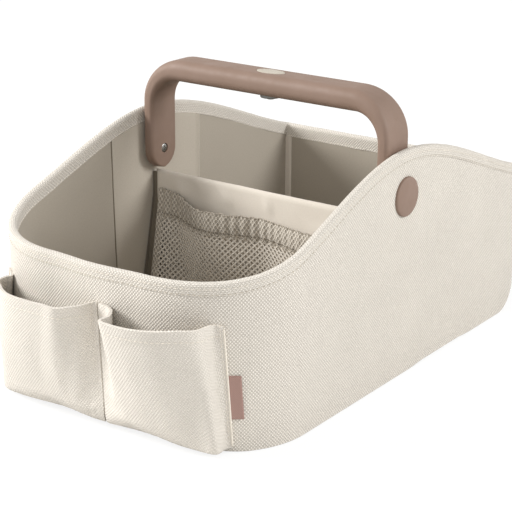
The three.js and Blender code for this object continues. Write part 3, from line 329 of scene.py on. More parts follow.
def stitches(name, path, normals, look="thread", length=2.4, gap=0.9, radius=0.2, sink=0.1,
             slot="weave"):
    """Row of short thread stitches along a path, as one piece."""
    path = np.asarray(path, float)
    lengths = run_along(path)
    points, faces, start = [], [], gap
    while start + length < lengths[-1]:
        centre, normal = (np.array([[np.interp(start + length * s, lengths, line[:, k])
                                     for k in range(3)] for s, _ in STITCH])
                          for line in (path, normals))
        normal /= np.linalg.norm(normal, axis=1, keepdims=True)
        along = centre[-1] - centre[0]
        along /= np.linalg.norm(along)
        faces += ring_faces(len(STITCH), 6, len(points))
        for c, n, (_, size) in zip(centre, normal, STITCH):
            side = np.cross(along, n)
            lift = n * (radius * (size * 0.8 - sink))
            for a in spaced(6, 0, 2 * math.pi)[:-1]:
                points.append(c + lift + radius * size * (math.cos(a) * side + math.sin(a) * n))
        start += length + gap
    dress(add_object(name, points, faces), look, slot)


def settle(grid, pinned, slack, gravity, cap, bend, frames=16):
    """Cloth simulation of a grid of points held at the pinned ones. Returns the moved grid."""
    rows, cols = grid.shape[:2]
    faces = [[i * cols + j, i * cols + j + 1, (i + 1) * cols + j + 1, (i + 1) * cols + j]
             for i in range(rows - 1) for j in range(cols - 1)]
    mesh = bpy.data.meshes.new("settling")
    mesh.from_pydata((grid.reshape(-1, 3) * MM).tolist(), [], faces)
    piece = link(bpy.data.objects.new("settling", mesh))
    group = piece.vertex_groups.new(name="held")
    group.add([int(k) for k in np.flatnonzero(pinned.ravel())], 1.0, "REPLACE")
    cloth = piece.modifiers.new("cloth", "CLOTH")
    cloth.point_cache.frame_end = frames
    cloth.collision_settings.use_collision = False
    cloth.settings.effector_weights.gravity = gravity
    for key, value in {"vertex_group_mass": "held", "quality": 8, "mass": 0.0015,
                       "tension_stiffness": 12, "compression_stiffness": 12,
                       "shear_stiffness": 6, "bending_stiffness": bend, "air_damping": 4,
                       "shrink_min": -slack}.items():
        setattr(cloth.settings, key, value)
    for step in range(1, frames + 1):
        bpy.context.scene.frame_set(step)
    graph = bpy.context.evaluated_depsgraph_get()
    flat = np.zeros(rows * cols * 3)
    piece.evaluated_get(graph).to_mesh().vertices.foreach_get("co", flat)
    bpy.data.objects.remove(piece)
    bpy.context.scene.frame_set(1)
    shift = flat.reshape(grid.shape) / MM - grid
    length = np.linalg.norm(shift, axis=2, keepdims=True)
    return grid + shift * np.minimum(1, cap / np.maximum(length, 1e-9))


# Materials

def colour(text):
    parts = [int(text[k:k + 2], 16) / 255 for k in (1, 3, 5)]
    return (*(c / 12.92 if c <= 0.04045 else ((c + 0.055) / 1.055) ** 2.4 for c in parts), 1)


class Nodes:
    """Short calls for the nodes of a tree."""

    def __init__(self, tree):
        self.tree = tree

    def feed(self, socket, value):
        if isinstance(value, bpy.types.NodeSocket):
            self.tree.links.new(value, socket)
        else:
            socket.default_value = value

    def node(self, kind, inputs=(), **settings):
        made = self.tree.nodes.new("ShaderNode" + kind)
        for key, value in settings.items():
            setattr(made, key, value)
        for key, value in dict(inputs).items():
            self.feed(made.inputs[key], value)
        return made

    def math(self, operation, *values):
        return self.node("Math", enumerate(values), operation=operation).outputs[0]

    def plus(self, *values):
        return self.math("ADD", *values)

    def times(self, *values):
        return self.math("MULTIPLY", *values)

    def shaded(self, value, share, base):
        """value * share + base"""
        return self.math("MULTIPLY_ADD", value, share, base)

    def vector(self, operation, first, second):
        key = "Scale" if operation == "SCALE" else 1
        return self.node("VectorMath", {0: first, key: second}, operation=operation).outputs[0]

    def seen(self):
        """1 for rays of the camera, of reflections and through glass."""
        path = self.node("LightPath").outputs
        seen = self.math("MAXIMUM", path["Is Camera Ray"], path["Is Glossy Ray"])
        return self.math("MAXIMUM", seen, path["Is Transmission Ray"])


class Look(Nodes):
    """A procedural material."""

    def __init__(self, name, roughness, sheen=0.0, metallic=0.0, specular=0.3):
        self.material = bpy.data.materials.new(name)
        self.material.use_nodes = True
        super().__init__(self.material.node_tree)
        self.shader = self.tree.nodes["Principled BSDF"]
        for key, value in (("Roughness", roughness), ("Sheen Weight", sheen),
                           ("Metallic", metallic), ("Specular IOR Level", specular)):
            self.set(key, value)

    def set(self, key, value):
        self.feed(self.shader.inputs[key], value)

    def place(self, cloth=True):
        if cloth:
            return self.node("UVMap", uv_map="cloth").outputs["UV"]
        return self.node("TexCoord").outputs["Object"]

    def cells(self, place, wide, tall):
        """Places counted in cells, as their two numbers."""
        cells = self.vector("MULTIPLY", place, (1 / (wide * MM), 1 / (tall * MM), 0))
        return self.node("SeparateXYZ", {0: cells}).outputs[:2]

    def noise(self, vector, size, detail=2, rough=0.5, squeeze=None):
        """Noise from 0 to 1 with bumps about size millimetres across."""
        if squeeze:
            vector = self.vector("MULTIPLY", vector, squeeze)
        return self.node("TexNoise", {"Vector": vector, "Scale": 1 / (size * MM), "Detail": detail,
                                      "Roughness": rough}).outputs["Fac"]

    def spread(self, value, low, high, to_low=0.0, to_high=1.0):
        return self.node("MapRange", {"Value": value, "From Min": low, "From Max": high,
                                      "To Min": to_low, "To Max": to_high}).outputs["Result"]

    def blend(self, share, first, second, kind="MIX"):
        return self.node("Mix", {0: share, 6: first, 7: second}, data_type="RGBA",
                         blend_type=kind).outputs[2]

    def paint(self, share, dark, tone):
        self.set("Base Color", self.blend(share, colour(dark), colour(tone)))

    def bump(self, height, distance, strength=1.0, **after):
        made = self.node("Bump", {"Height": height, "Distance": distance * MM,
                                  "Strength": strength, **after})
        self.set("Normal", made.outputs["Normal"])
        return made.outputs["Normal"]


def woven(name, thread, gap, pitch=1.02, tall=1.12, relief=0.45, contrast=0.7, ribs=0.0,
          shift=0.04, weft_share=0.5, mottle=0.05):
    """Plain weave: two sets of threads that pass over and under each other in turn."""
    look = Look(name, 0.92, 0.1, specular=0.15)
    wander = look.node("TexNoise", {"Vector": look.place(), "Scale": 1 / (9 * MM), "Detail": 1})
    pull = look.vector("ADD", wander.outputs["Color"], (-0.5, -0.5, -0.5))
    place = look.vector("ADD", look.place(), look.vector("SCALE", pull, 8 * shift * pitch * MM))
    u, v = look.cells(place, pitch, pitch * tall)
    turn_u, turn_v = (look.math("SINE", look.times(look.math("FRACT", x), math.pi)) for x in (u, v))
    over = look.math("FLOORED_MODULO", look.plus(*(look.math("FLOOR", x) for x in (u, v))), 2.0)
    warp = look.times(turn_u, look.shaded(turn_v, 0.45, 0.55))
    weft = look.times(look.times(turn_v, look.shaded(turn_u, 0.35, 0.5)), weft_share)
    height = look.plus(look.times(warp, look.math("SUBTRACT", 1.0, over)), look.times(weft, over))
    wave = look.times(*(look.math("SINE", look.times(x, math.pi)) for x in (u, v)))
    height = look.shaded(height, 0.4, look.shaded(wave, 0.36, 0.3))
    if ribs:
        height = look.plus(look.times(height, 1 - ribs), look.times(turn_v, ribs))
    slubs = look.plus(*(look.times(look.noise(place, 2.2, 2, 0.6, squeeze), 0.3)
                        for squeeze in ((0.25, 1, 1), (1, 0.25, 1))))
    height = look.times(height, look.plus(slubs, 0.7))
    # Pits between the threads take the gap colour: partly the cloth's own darker pits, partly
    # painted shade of them, on top of the bump.
    share = look.spread(height, 0.05, 0.85, 1 - contrast, 1.0)
    share = look.plus(share, look.shaded(look.noise(place, 0.5, 2, 0.6), 0.12, -0.06))
    tone = look.spread(look.noise(look.place(False), 45, 3, 0.55), 0.3, 0.7, 1 - mottle, 1.0)
    grey = look.node("CombineColor", {0: tone, 1: tone, 2: tone}).outputs[0]
    base = look.blend(share, colour(gap), colour(thread))
    look.set("Base Color", look.blend(1.0, base, grey, "MULTIPLY"))
    look.bump(height, relief)
    return look.material


def smooth_cloth(name, tone, dark, relief=0.06, pitch=0.45, mottle=0.1):
    """Fine plain cloth: a weave too small to count, with soft unevenness."""
    look = Look(name, 0.8, 0.2, specular=0.2)
    threads = look.plus(*(look.times(look.noise(look.place(), pitch, 1, 0.5, squeeze), 0.5)
                          for squeeze in ((1, 0.3, 1), (0.3, 1, 1))))
    broad = look.noise(look.place(False), 30, 3, 0.55)
    look.paint(look.plus(look.spread(threads, 0.3, 0.7, 0.6, 1.0),
                         look.shaded(broad, mottle * 2, -mottle)), dark, tone)
    creases = look.noise(look.place(False), 16, 2, 0.5, (1, 1, 0.6))
    look.bump(creases, 0.5, 0.35, Normal=look.bump(threads, relief))
    return look.material


def knitted(name, tone, dark, wide=2.9, tall=4.2, relief=0.5):
    """Knitted mesh seen close: rows of small slanting eyes."""
    look = Look(name, 0.85, 0.1, specular=0.15)
    place = look.place()
    u, v = look.cells(place, wide, tall)
    eye = look.times(*(look.math("ABSOLUTE", look.math("SINE", look.times(x, math.pi)))
                       for x in (look.plus(u, v), look.math("SUBTRACT", u, v))))
    strand = look.math("SUBTRACT", 1.0, look.spread(eye, 0.1, 0.7))
    fibre = look.noise(place, 0.6, 2, 0.6)
    # The eyes take the dark colour: painted shade of the holes, which this closed sheet doesn't
    # have.
    look.paint(look.plus(look.times(strand, 0.8), look.times(fibre, 0.3)), dark, tone)
    look.bump(strand, relief)
    return look.material


def moulded(name, tone, light, roughness, grain=0.35, relief=0.03, specular=0.5):
    """Moulded plastic with a fine spark-eroded grain and a little handling wear."""
    look = Look(name, roughness, specular=specular)
    place = look.place(False)
    look.paint(look.spread(look.noise(place, 18, 3, 0.5), 0.35, 0.7), tone, light)
    wear = look.noise(place, 6, 4, 0.6)
    look.set("Roughness", look.spread(wear, 0.3, 0.7, roughness - 0.06, roughness + 0.08))
    look.bump(look.noise(place, grain, 2, 0.6), relief, 0.8)
    return look.material


def metal(name, tone, roughness=0.3):
    look = Look(name, roughness, metallic=1.0, specular=0.5)
    fine = look.noise(look.place(False), 0.4, 2, 0.6, (1, 1, 8))
    look.paint(look.spread(fine, 0.3, 0.7), tone, "#8E8E8C")
    look.set("Roughness", look.spread(fine, 0.3, 0.7, roughness - 0.08, roughness + 0.12))
    look.bump(fine, 0.01, 0.6)
    return look.material


def twisted(name, tone, dark):
    """Sewing thread"""
    look = Look(name, 0.75, 0.15, specular=0.25)
    twist = look.noise(look.place(False), 0.35, 2, 0.6)
    look.paint(look.spread(twist, 0.3, 0.7), dark, tone)
    look.bump(twist, 0.05, 0.8)
    return look.material


def clear_plastic(name):
    look = Look(name, 0.08, specular=0.6)
    look.set("Transmission Weight", 0.85)
    look.set("IOR", 1.46)
    look.set("Base Color", colour("#F2F5F6"))
    look.bump(look.noise(look.place(False), 1.5, 1, 0.5), 0.02, 0.4)
    return look.material


LOOKS = {
    "weave": woven("weave_look", "#F4EEE5", "#958D80", contrast=0.66),
    "pocket": woven("pocket_look", "#E5DFD6", "#938B7E", relief=0.34, contrast=0.3),
    "binding": woven("binding_look", "#F2ECE3", "#979082", relief=0.5, contrast=0.65, ribs=0.2),
    "lining": smooth_cloth("lining_look", "#B1A99C", "#968D80"),
    "panel": smooth_cloth("panel_look", "#C2BAAD", "#A69D8F"),
    "divider": smooth_cloth("divider_look", "#DED6CA", "#CCC4B8", 0.05),
    "net": knitted("net_look", "#DCD4C7", "#968D80"),
    "strand": knitted("strand_look", "#ECE4D8", "#D6CEC1", 0.7, 0.7, 0.1),
    "overlock": twisted("overlock_look", "#D5CCBE", "#A59C8E"),
    # The seam look's dark colour is partly painted shade: it stands in for the shade in the narrow
    # gaps at the panel and divider seams.
    "seam": smooth_cloth("seam_and_painted_shade_look", "#7A7163", "#5E5649"),
    "tab": woven("tab_look", "#B2938A", "#84685E", 0.55, 1.0, 0.08, 0.6, shift=0.05),
    "handle": moulded("handle_look", "#836D5F", "#897366", 0.58, specular=0.4),
    "button": moulded("button_look", "#B5AD9F", "#BEB6A9", 0.5),
    "nylon": moulded("nylon_look", "#D2CDC3", "#DEDAD2", 0.5),
    "stiffener": moulded("stiffener_look", "#C3BEB4", "#CFCBC2", 0.8, 1.2, 0.1, 0.2),
    "steel": metal("steel_look", "#C4C4C2"),
    "ring": metal("ring_look", "#5B5854", 0.35),
    "cell": moulded("cell_look", "#34373B", "#45494E", 0.35),
    "circuit": moulded("circuit_look", "#2A523F", "#356650", 0.4),
    "led": moulded("led_look", "#EFE4A4", "#F7EFC4", 0.25),
    "lens": clear_plastic("lens_look"),
    "thread": twisted("thread_look", "#F3ECE1", "#DDD5C8"),
    "dark_thread": twisted("dark_thread_look", "#8A8073", "#6E6559"),
    "hem_thread": twisted("hem_thread_look", "#CFC6B8", "#B3AA9C"),
}


def dress(piece, look, slot, *replaces, body="caddy"):
    piece.data.materials.clear()
    piece.data.materials.append(LOOKS[look])
    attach(piece, body)
    if replaces:
        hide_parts(*replaces)


def declare_sheet(piece, width, length, held, rests_on):
    """Works out the piece's own area, which a sheet's cut would have; the sheet itself is not
    declared. Declares a sheet whose cut has the piece's own area, inside a rectangle of
    cloth.
    """
    area = sum(face.area for face in piece.data.polygons) / 2


# Stations round the tub: each has the foot's radius there, its lift and its plan at a depth

Station = namedtuple("Station", "foot lift at")


def level(out):
    return 0


def foot_station(hand, angle):
    def at(depth, out):
        along = BACK_FOOT_START + (BACK_FOOT - out) * math.sin(angle)
        return hand * (half_width(along) - depth), along

    return Station(0, lambda out: BACK_FOOT - (BACK_FOOT - out) * math.cos(angle) - out, at)


def side_station(hand, along):
    return Station(0, level, lambda depth, out: (hand * (half_width(along) - depth), along))


def corner_station(hand, angle):
    def at(depth, out):
        return (hand * (CORNER_MIDDLE + (CORNER_ACROSS - depth) * math.cos(angle)),
                CORNER_START - (CORNER_ALONG - depth) * math.sin(angle))

    return Station(FRONT_FOOT * float(smoothstep(angle, FRONT_FOOT_ANGLE, QUARTER)), level, at)


def front_station(share):
    bow = FRONT_BOW * (1 + math.cos(math.pi * share)) / 2
    return Station(FRONT_FOOT, level,
                   lambda depth, out: (CORNER_MIDDLE * share, FRONT_EDGE + depth - bow))


def stations_round(side_steps, corner_steps, front_steps, back, foot_steps=0):
    """Stations from the back of the left side round the front to the back of the right side."""
    halves = []
    for hand in (-1, 1):
        half = [foot_station(hand, a) for a in spaced(foot_steps, QUARTER, 0)[:-1] if foot_steps]
        half += [side_station(hand, y) for y in spaced(side_steps, back, CORNER_START)]
        half += [corner_station(hand, a) for a in spaced(corner_steps, 0, QUARTER)[1:]]
        halves.append(half)
    front = [front_station(s) for s in spaced(front_steps, -1, 1)[1:-1]]
    return halves[0] + front + halves[1][::-1]


def foot_point(station, depth, out, angle):
    radius = max(station.foot - depth, 0)
    rise = max(radius, SIDE_FOOT_STEP) * (1 - math.cos(angle))
    x, y = station.at(depth + radius * (1 - math.sin(angle)), out)
    return x, y, station.lift(out) + depth + rise


def rim_point(station, depth, drop, out=0.0):
    x, y = station.at(depth, out)
    return x, y, rim_height(station.at(0, out)[1]) - drop


def wall_grid(depth, out):
    columns = []
    for station in STATIONS:
        foot = [np.array(foot_point(station, depth, out, a)) for a in spaced(7, 0, QUARTER)]
        top = np.array(rim_point(station, depth, UNDER_BINDING, out))
        columns.append(foot + [foot[-1] + (top - foot[-1]) * s for s in spaced(34)[1:]])
    return np.array(columns).transpose(1, 0, 2)


def wall_uv(grid):
    """Runs round the wall at its outer face, and true heights up it."""
    run = run_along(grid[len(grid) // 2][:, :2])
    return np.dstack([np.broadcast_to(run, grid.shape[:2]), grid[:, :, 2]])


def swell(grid, amount, scale, seed, fade, inwards=False):
    """Moves a wall's points by soft noise, only outwards or only inwards."""
    normals = grid_normals(grid)
    outwards = np.dot(normals[20, 20, :2], grid[20, 20, :2]) > 0
    push = np.array([[0.5 + 0.5 * soft(p, scale, seed) for p in row] for row in grid])
    push = push * fade * (amount if outwards != inwards else -amount)
    return grid + normals * push[:, :, None]


def pivot_hole(grid, radius):
    """Cells of a grid that lie outside the pivots' holes."""
    middle = (grid[:-1, :-1] + grid[1:, 1:]) / 2
    near = np.hypot(middle[:, :, 1] - PIVOT_Y, middle[:, :, 2] - PIVOT_Z) < radius
    return ~(near & (np.abs(middle[:, :, 0]) > BACK_WIDTH / 4))


STATIONS = stations_round(76, 28, 24, BACK_FOOT_START, 8)


# Outer fabric of the walls

def outer_wall():
    outer, inner = wall_grid(0, 0), wall_grid(WRAP_IN, 0)
    uv = wall_uv(outer)
    height = outer[:, :, 2]
    swollen = swell(outer, 1.0, 70, 1, smoothstep(height, 0, 20))
    # The right wall's foot curls up a little ahead of the back
    lift = 1.6 * smoothstep(outer[:, :, 1], 20, 50) * smoothstep(-outer[:, :, 1], -105, -75)
    lift = lift * (outer[:, :, 0] > 0) * smoothstep(-height, -7, -1)
    swollen[:, :, 2] += lift
    inner[:, :, 2] += lift
    piece = slab("wall_fabric", swollen, inner, uv, pivot_hole(outer, PIVOT_HOLE))
    dress(piece, "weave", "weave", "outer_wrap")
    declare_sheet(piece, uv[0, -1, 0] + ARCH_ALLOWANCE, WALL_CUT, "stretched", "front_board")


# Back wall, turned under the base

def back_grid(depth, half):
    radius = BACK_FOOT - depth
    section = [(BACK_FOOT_START + radius * math.sin(a), BACK_FOOT - radius * math.cos(a))
               for a in spaced(10, 0, QUARTER)]
    section += [(BACK_EDGE - depth, mix(BACK_FOOT, BACK_RIM - UNDER_BINDING, s))
                for s in spaced(30)[1:]]
    return np.array([[(x, y, z) for x in spaced(64, -half, half)] for y, z in section])


def back_wall():
    half = half_width(BACK_EDGE)
    outer, inner = (back_grid(depth, half - 0.2) for depth in (0, WRAP_IN))
    fade = smoothstep(outer[:, :, 2], 2, 20) * smoothstep(-outer[:, :, 2], -100, -84)
    fade = fade * smoothstep(half - abs(outer[:, :, 0]), 0, 18)
    piece = slab("back_fabric", swell(outer, 1.2, 60, 3, fade), inner, sheet_uv(outer))
    dress(piece, "weave", "weave", "back_panel")
    declare_sheet(piece, 2 * half, BACK_CUT, "stretched", "back_board")


# Base: a flat panel with a thin welt round its edge

def base_outline(inset):
    stations = stations_round(40, 16, 12, BACK_FOOT_START - GAP)
    return np.array([s.at(max(s.foot, inset), 0) for s in stations])


def flat_panel(name, outline, low, high, sag=0.0):
    """Flat closed panel inside an outline, as rings that shrink towards its middle."""
    centre = outline.mean(axis=0)
    shares = spaced(12, 1, 0.02)
    upper = np.array([[(*(centre + (p - centre) * s), high) for p in outline] for s in shares])
    lower = upper.copy()
    lower[:, :, 2] = low
    bumps = np.array([[0.5 + 0.5 * soft(p, 40, 5) for p in row] for row in upper])
    upper[:, :, 2] += sag * smoothstep(1 - shares, 0, 0.25)[:, None] * bumps
    return loft(name, np.concatenate([lower[::-1], upper]), plan=True)


def base():
    piece = flat_panel("base_fabric", base_outline(WRAP_IN + GAP), 0.0, 0.8)
    dress(piece, "weave", "weave", "base_panel")
    declare_sheet(piece, *BASE_CUT, "stretched", "base_board")
    piece = flat_panel("floor_lining", base_outline(LINER_IN + GAP), 2.7, 3.3, sag=0.9)
    dress(piece, "lining", "lining", "lining_floor")
    declare_sheet(piece, *FLOOR_CUT, "laid", "base_board")
    path = [(x - math.copysign(0.9, x) * (abs(x) > 60), y, 0.95)
            for x, y in base_outline(WRAP_IN + 0.2)]
    dress(tube_along("base_welt", path, 0.85), "binding", "binding")


# Lining inside the walls

def lining():
    seen, behind = wall_grid(LINER_IN, LINER_OUT), wall_grid(LINER_OUT, LINER_OUT)
    uv = wall_uv(seen)
    moved = swell(seen, 0.8, 42, 7, smoothstep(seen[:, :, 2], 3, 15), inwards=True)
    piece = slab("wall_lining", moved, behind, uv, pivot_hole(seen, PIVOT_HOLE))
    dress(piece, "lining", "lining", "lining_walls")
    declare_sheet(piece, uv[0, -1, 0] + ARCH_ALLOWANCE, WALL_CUT, "stretched", "front_board")
    half = half_width(BACK_EDGE) - LINER_IN - GAP
    seen, behind = back_grid(LINER_IN, half), back_grid(LINER_OUT, half)
    fade = smoothstep(seen[:, :, 2], 3, 15) * smoothstep(half - abs(seen[:, :, 0]), 0, 8)
    piece = slab("back_lining", swell(seen, 1.4, 38, 9, fade, inwards=True), behind, sheet_uv(seen))
    dress(piece, "lining", "lining", "lining_back")
    declare_sheet(piece, 2 * half, BACK_LINING_CUT, "stretched", "back_board")
    for hand, side_name in SIDES:
        def points(z, t):
            x, y = hand * mix(half - 4.9, half - 0.1, t), BACK_EDGE - LINER_IN - 0.4
            edge = float(smoothstep(t, -0.05, 0.2))
            return (x, y - 1.2 * edge - 0.2 * soft((t, 0, z), 9, 2), z), (x, y, z)

        hem, _ = two_faced(f"{side_name}_corner_hem", spaced(40, 19, BACK_RIM - 9), spaced(8),
                           points, 60)
        # The hem wears the lighter divider cloth rather than the lining: painted light, so that it
        # reads as lit in the shaded back corner.
        dress(hem, "divider", "lining")


def side_panels():
    """Panels inside the side walls, with a turned hem at the back and a seam at the front."""
    back, front, hem_width = PIVOT_Y + 49, PIVOT_Y - 42, 4.2
    for hand, side_name in SIDES:
        def points(share, place):
            lean = 5 * (1 - share) ** 1.5
            y = place + lean * float(smoothstep(-place, -back, -front))
            z = mix(4.2, rim_height(y) - 9.2, share)
            hem = smoothstep(y, back - hem_width, back - 3.4)
            groove = 0.5 * (1 - smoothstep(abs(y - (back - 4.6)), 0.2, 1.2))
            edge = float(smoothstep(min(place - front, back - y), -0.2, 0.8))
            thick = (0.7 + 0.9 * hem - groove) * (edge * 0.75 + 0.25)
            bulge = 0.5 * (0.5 + 0.5 * soft((0, y, z), 34, 11 + hand))
            x = half_width(y) - LINER_IN - 0.25
            return (hand * (x - thick - bulge), y, z), (hand * x, y, z)

        piece, _ = two_faced(f"{side_name}_side_panel_fabric", spaced(40), spaced(46, back, front),
                             points, hole=PIVOT_HOLE)
        dress(piece, "panel", "panel", f"{side_name}_side_panel")
        declare_sheet(piece, *PANEL_CUT, "stretched", f"{side_name}_board")
        # The seam along the panel's front edge is a dark tube: partly the seam itself, partly
        # painted shade of the gap between panel and lining.
        path = []
        for share in spaced(40):
            z = mix(5, rim_height(front) - 10, share)
            y = front - 0.4 + 5 * (1 - share) ** 1.5 + 0.5 * soft((0, 1, z), 20, 4)
            path.append((hand * (half_width(front) - LINER_IN - 0.35), y, z))
        dress(tube_along(f"{side_name}_panel_seam", path, 0.5), "seam", "panel")


# Binding folded over the rim, with its rows of stitches

OUTER_HEM, INNER_HEM, BINDING_DOME, BINDING_FLARE = 8.0, 9.6, 1.9, -0.45
BINDING_CLOTH = 0.75


def binding_section(station, swing, wide):
    """Points round the binding's outer face at a station, from its outer hem to its inner hem."""
    middle = (BINDING_OUT + BINDING_IN) / 2
    half = (BINDING_IN - BINDING_OUT) / 2 + wide
    section = [rim_point(station, middle - half - BINDING_FLARE * s,
                         mix(BINDING_DOME, OUTER_HEM + swing, s)) for s in spaced(7, 1, 0)[:-1]]
    section += [rim_point(station, middle - half * math.cos(a),
                          BINDING_DOME - (BINDING_DOME + wide) * math.sin(a))
                for a in spaced(8, 0, math.pi)]
    section += [rim_point(station, middle + half + BINDING_FLARE * s,
                          mix(BINDING_DOME, INNER_HEM + swing, s)) for s in spaced(8)[1:]]
    return np.array(section)


def binding(name, stations, wide, rows, *replaces):
    """One length of binding, with its rows of stitches as row, name and thread."""
    sections = []
    for station in stations:
        section = binding_section(station, 0.35 * soft((*station.at(0, 0), 0), 11, 21), wide)
        for point in section:
            point[2] += 0.12 * soft(point, 6, 23)
        sections.append(section)
    outer = np.array(sections).transpose(1, 0, 2)
    normals = grid_normals(outer)
    middle = len(stations) // 2
    if np.dot(normals[1, middle], outer[1, middle] - outer[-2, middle]) < 0:
        normals = -normals
    across, run = run_along(outer[:, middle]), run_along(outer[0])
    uv = np.dstack([np.broadcast_to(run, outer.shape[:2]),
                    np.broadcast_to(across[:, None], outer.shape[:2])])
    piece = slab(name, outer, outer - normals * BINDING_CLOTH, uv)
    dress(piece, "binding", "binding", *replaces)
    declare_sheet(piece, run[-1] + 30, across[-1] + 1, "folded", "wall_fabric")
    for row, row_name, look in rows:
        stitches(row_name, outer[row], normals[row], look, slot="binding")


def rim():
    binding("rim_binding_front", STATIONS, 0.0,
            ((1, "rim_stitches_outer", "hem_thread"), (5, "rim_stitches_crest", "thread"),
             (-2, "rim_stitches_inner", "thread")), "rim_binding")
    half = half_width(BACK_EDGE) + 0.6
    back = [Station(0, level, lambda depth, out, x=x: (x, BACK_EDGE - depth))
            for x in spaced(60, half, -half)]
    binding("rim_binding_back", back, 0.35, ((1, "back_rim_stitches_outer", "thread"),
                                             (-2, "back_rim_stitches_inner", "thread")))


outer_wall()
back_wall()
base()
lining()
side_panels()
rim()


# Divider with its mesh pocket

DIVIDER_LOW, DIVIDER_HIGH = span_of("divider_cover")
DIVIDER_FACE = DIVIDER_LOW[1]
NET_HALF = 90.2
NET_LOW, NET_HIGH, BAND_HIGH = 7.0, 72.0, 87.3
SIDE_LEAN = 0.17

# Creases that run over the divider's face: height, ends as x and z, and width
CREASES = [(2.4, -84, 118, -70, 88, 4.5), (-1.8, -66, 120, -50, 92, 5), (2.2, -50, 116, -30, 90, 4),
           (1.6, -8, 118, 2, 90, 3), (-1.5, 12, 119, 40, 92, 5), (2.1, 46, 118, 84, 92, 5)]


def crease(x, z, x0, z0, x1, z1, width):
    """Soft ridge along a line, that fades out at its ends."""
    along = (x1 - x0, z1 - z0)
    size = math.hypot(*along)
    share = ((x - x0) * along[0] + (z - z0) * along[1]) / size ** 2
    off = ((x - x0) * along[1] - (z - z0) * along[0]) / size
    return math.exp(-(off / width) ** 2) * float(smoothstep(min(share, 1 - share), -0.15, 0.3))


def divider():
    half_x, low, high = DIVIDER_HIGH[0] + 2.6, DIVIDER_LOW[2], DIVIDER_HIGH[2]
    flat = np.array([[(x, 0, z) for x in spaced(92, -half_x, half_x)]
                     for z in spaced(52, low, high)])
    pinned = np.zeros(flat.shape[:2], bool)
    pinned[0], pinned[:, 0], pinned[:, -1] = True, True, True
    pinned[-1, ::10] = True
    loose = settle(flat, pinned, slack=0.02, gravity=0.6, cap=2.2, bend=0.35)
    thin = (DIVIDER_HIGH[1] - DIVIDER_FACE) / 2 - 0.35
    faces = []
    for side, face_y in ((-1, DIVIDER_FACE), (1, DIVIDER_HIGH[1])):
        grid = flat.copy()
        for point, wave in zip(grid.reshape(-1, 3), loose[:, :, 1].ravel()):
            x, _, z = point
            edge = min(half_x - abs(x), high - z)
            drape = 0.9 * soft((x * 0.9 + z * 0.5, 0, z - 0.35 * x), 22, 31 + side)
            drape += 0.6 * soft((x, 0, z), 46, 33 + side)
            if side < 0:
                drape += sum(height * crease(x, z, *ends) for height, *ends in CREASES)
            lift = max(drape + 0.35 + 0.5 * side * wave, 0) * float(smoothstep(edge, 0, 14))
            point[1] = face_y + side * (lift - thin * (1 - float(smoothstep(edge, 0, 2.6)) ** 0.5))
            if z == high:
                point[2] -= 0.3 + 0.3 * soft((x, 0, 0), 26, 35)
        faces.append(grid)
    piece = slab("divider_fabric", *faces, sheet_uv(flat), sharp=70)
    dress(piece, "divider", "divider", "divider_cover")


def divider_flanges():
    """Seam cloth between the divider's ends and the side panels, turned forwards there, coloured
    dark as painted shade of the gap between them.
    """
    first, last = NET_HALF + 0.6, half_width(PIVOT_Y) - PANEL_IN - 1.0
    for hand, side_name in SIDES:
        def points(z, column):
            forwards, t = column
            y = DIVIDER_FACE + 0.6 - side_stand_off(z)
            # The forward part lies on the side panel as a dark strip: painted shadow of the slit
            # beside the mesh pocket.
            if forwards:
                share = (z - DIVIDER_LOW[2]) / (DIVIDER_HIGH[2] - DIVIDER_LOW[2])
                reach, x = mix(3.6, 0.6, share) * t, last + 0.1 * t
                return (hand * x, y - 0.2 - reach, z), (hand * (x + 0.6), y + 0.2 - reach, z)
            x = hand * mix(first, last, t)
            return ((x, y + 0.25 * soft((x, 0, z), 9, 37), z),
                    (x, max(y, DIVIDER_FACE - 0.2) + 0.8, z))

        columns = [(False, t) for t in spaced(6)] + [(True, t) for t in spaced(4)[1:]]
        flange, _ = two_faced(f"divider_{side_name}_flange",
                              spaced(40, DIVIDER_LOW[2] + 0.5, DIVIDER_HIGH[2] - 2),
                              columns[::hand], points, 80)
        dress(flange, "seam", "divider")
        declare_sheet(flange, *FLANGE_CUT, "folded", "divider_fabric")


def side_stand_off(z):
    """How far the mesh pocket's side edges stand off the divider."""
    return SIDE_LEAN * max(BAND_HIGH - 2 - z, 0)


def net_stand_off(x, z):
    """How far the mesh pocket stands off the divider: two soft bellies with a tack between."""
    edge = float(smoothstep(NET_HALF - abs(x), 0, 42))
    left_belly, right_belly, tack = (math.exp(-((x - middle) / width) ** 2)
                                     for middle, width in ((-39, 27), (45, 30), (-1, 10)))
    belly = 3.0 + 11.5 * left_belly + 10.0 * right_belly - 1.5 * tack
    rise = mix(0.35, 1.0, float(smoothstep(z, NET_LOW, 58)))
    return max(0.5 + edge * belly * rise, side_stand_off(z) * (1 - edge) + 0.5)


def net_y(x, z):
    return DIVIDER_FACE - 0.9 - net_stand_off(x, z) - 0.5 * soft((x, 0, z), 17, 41)


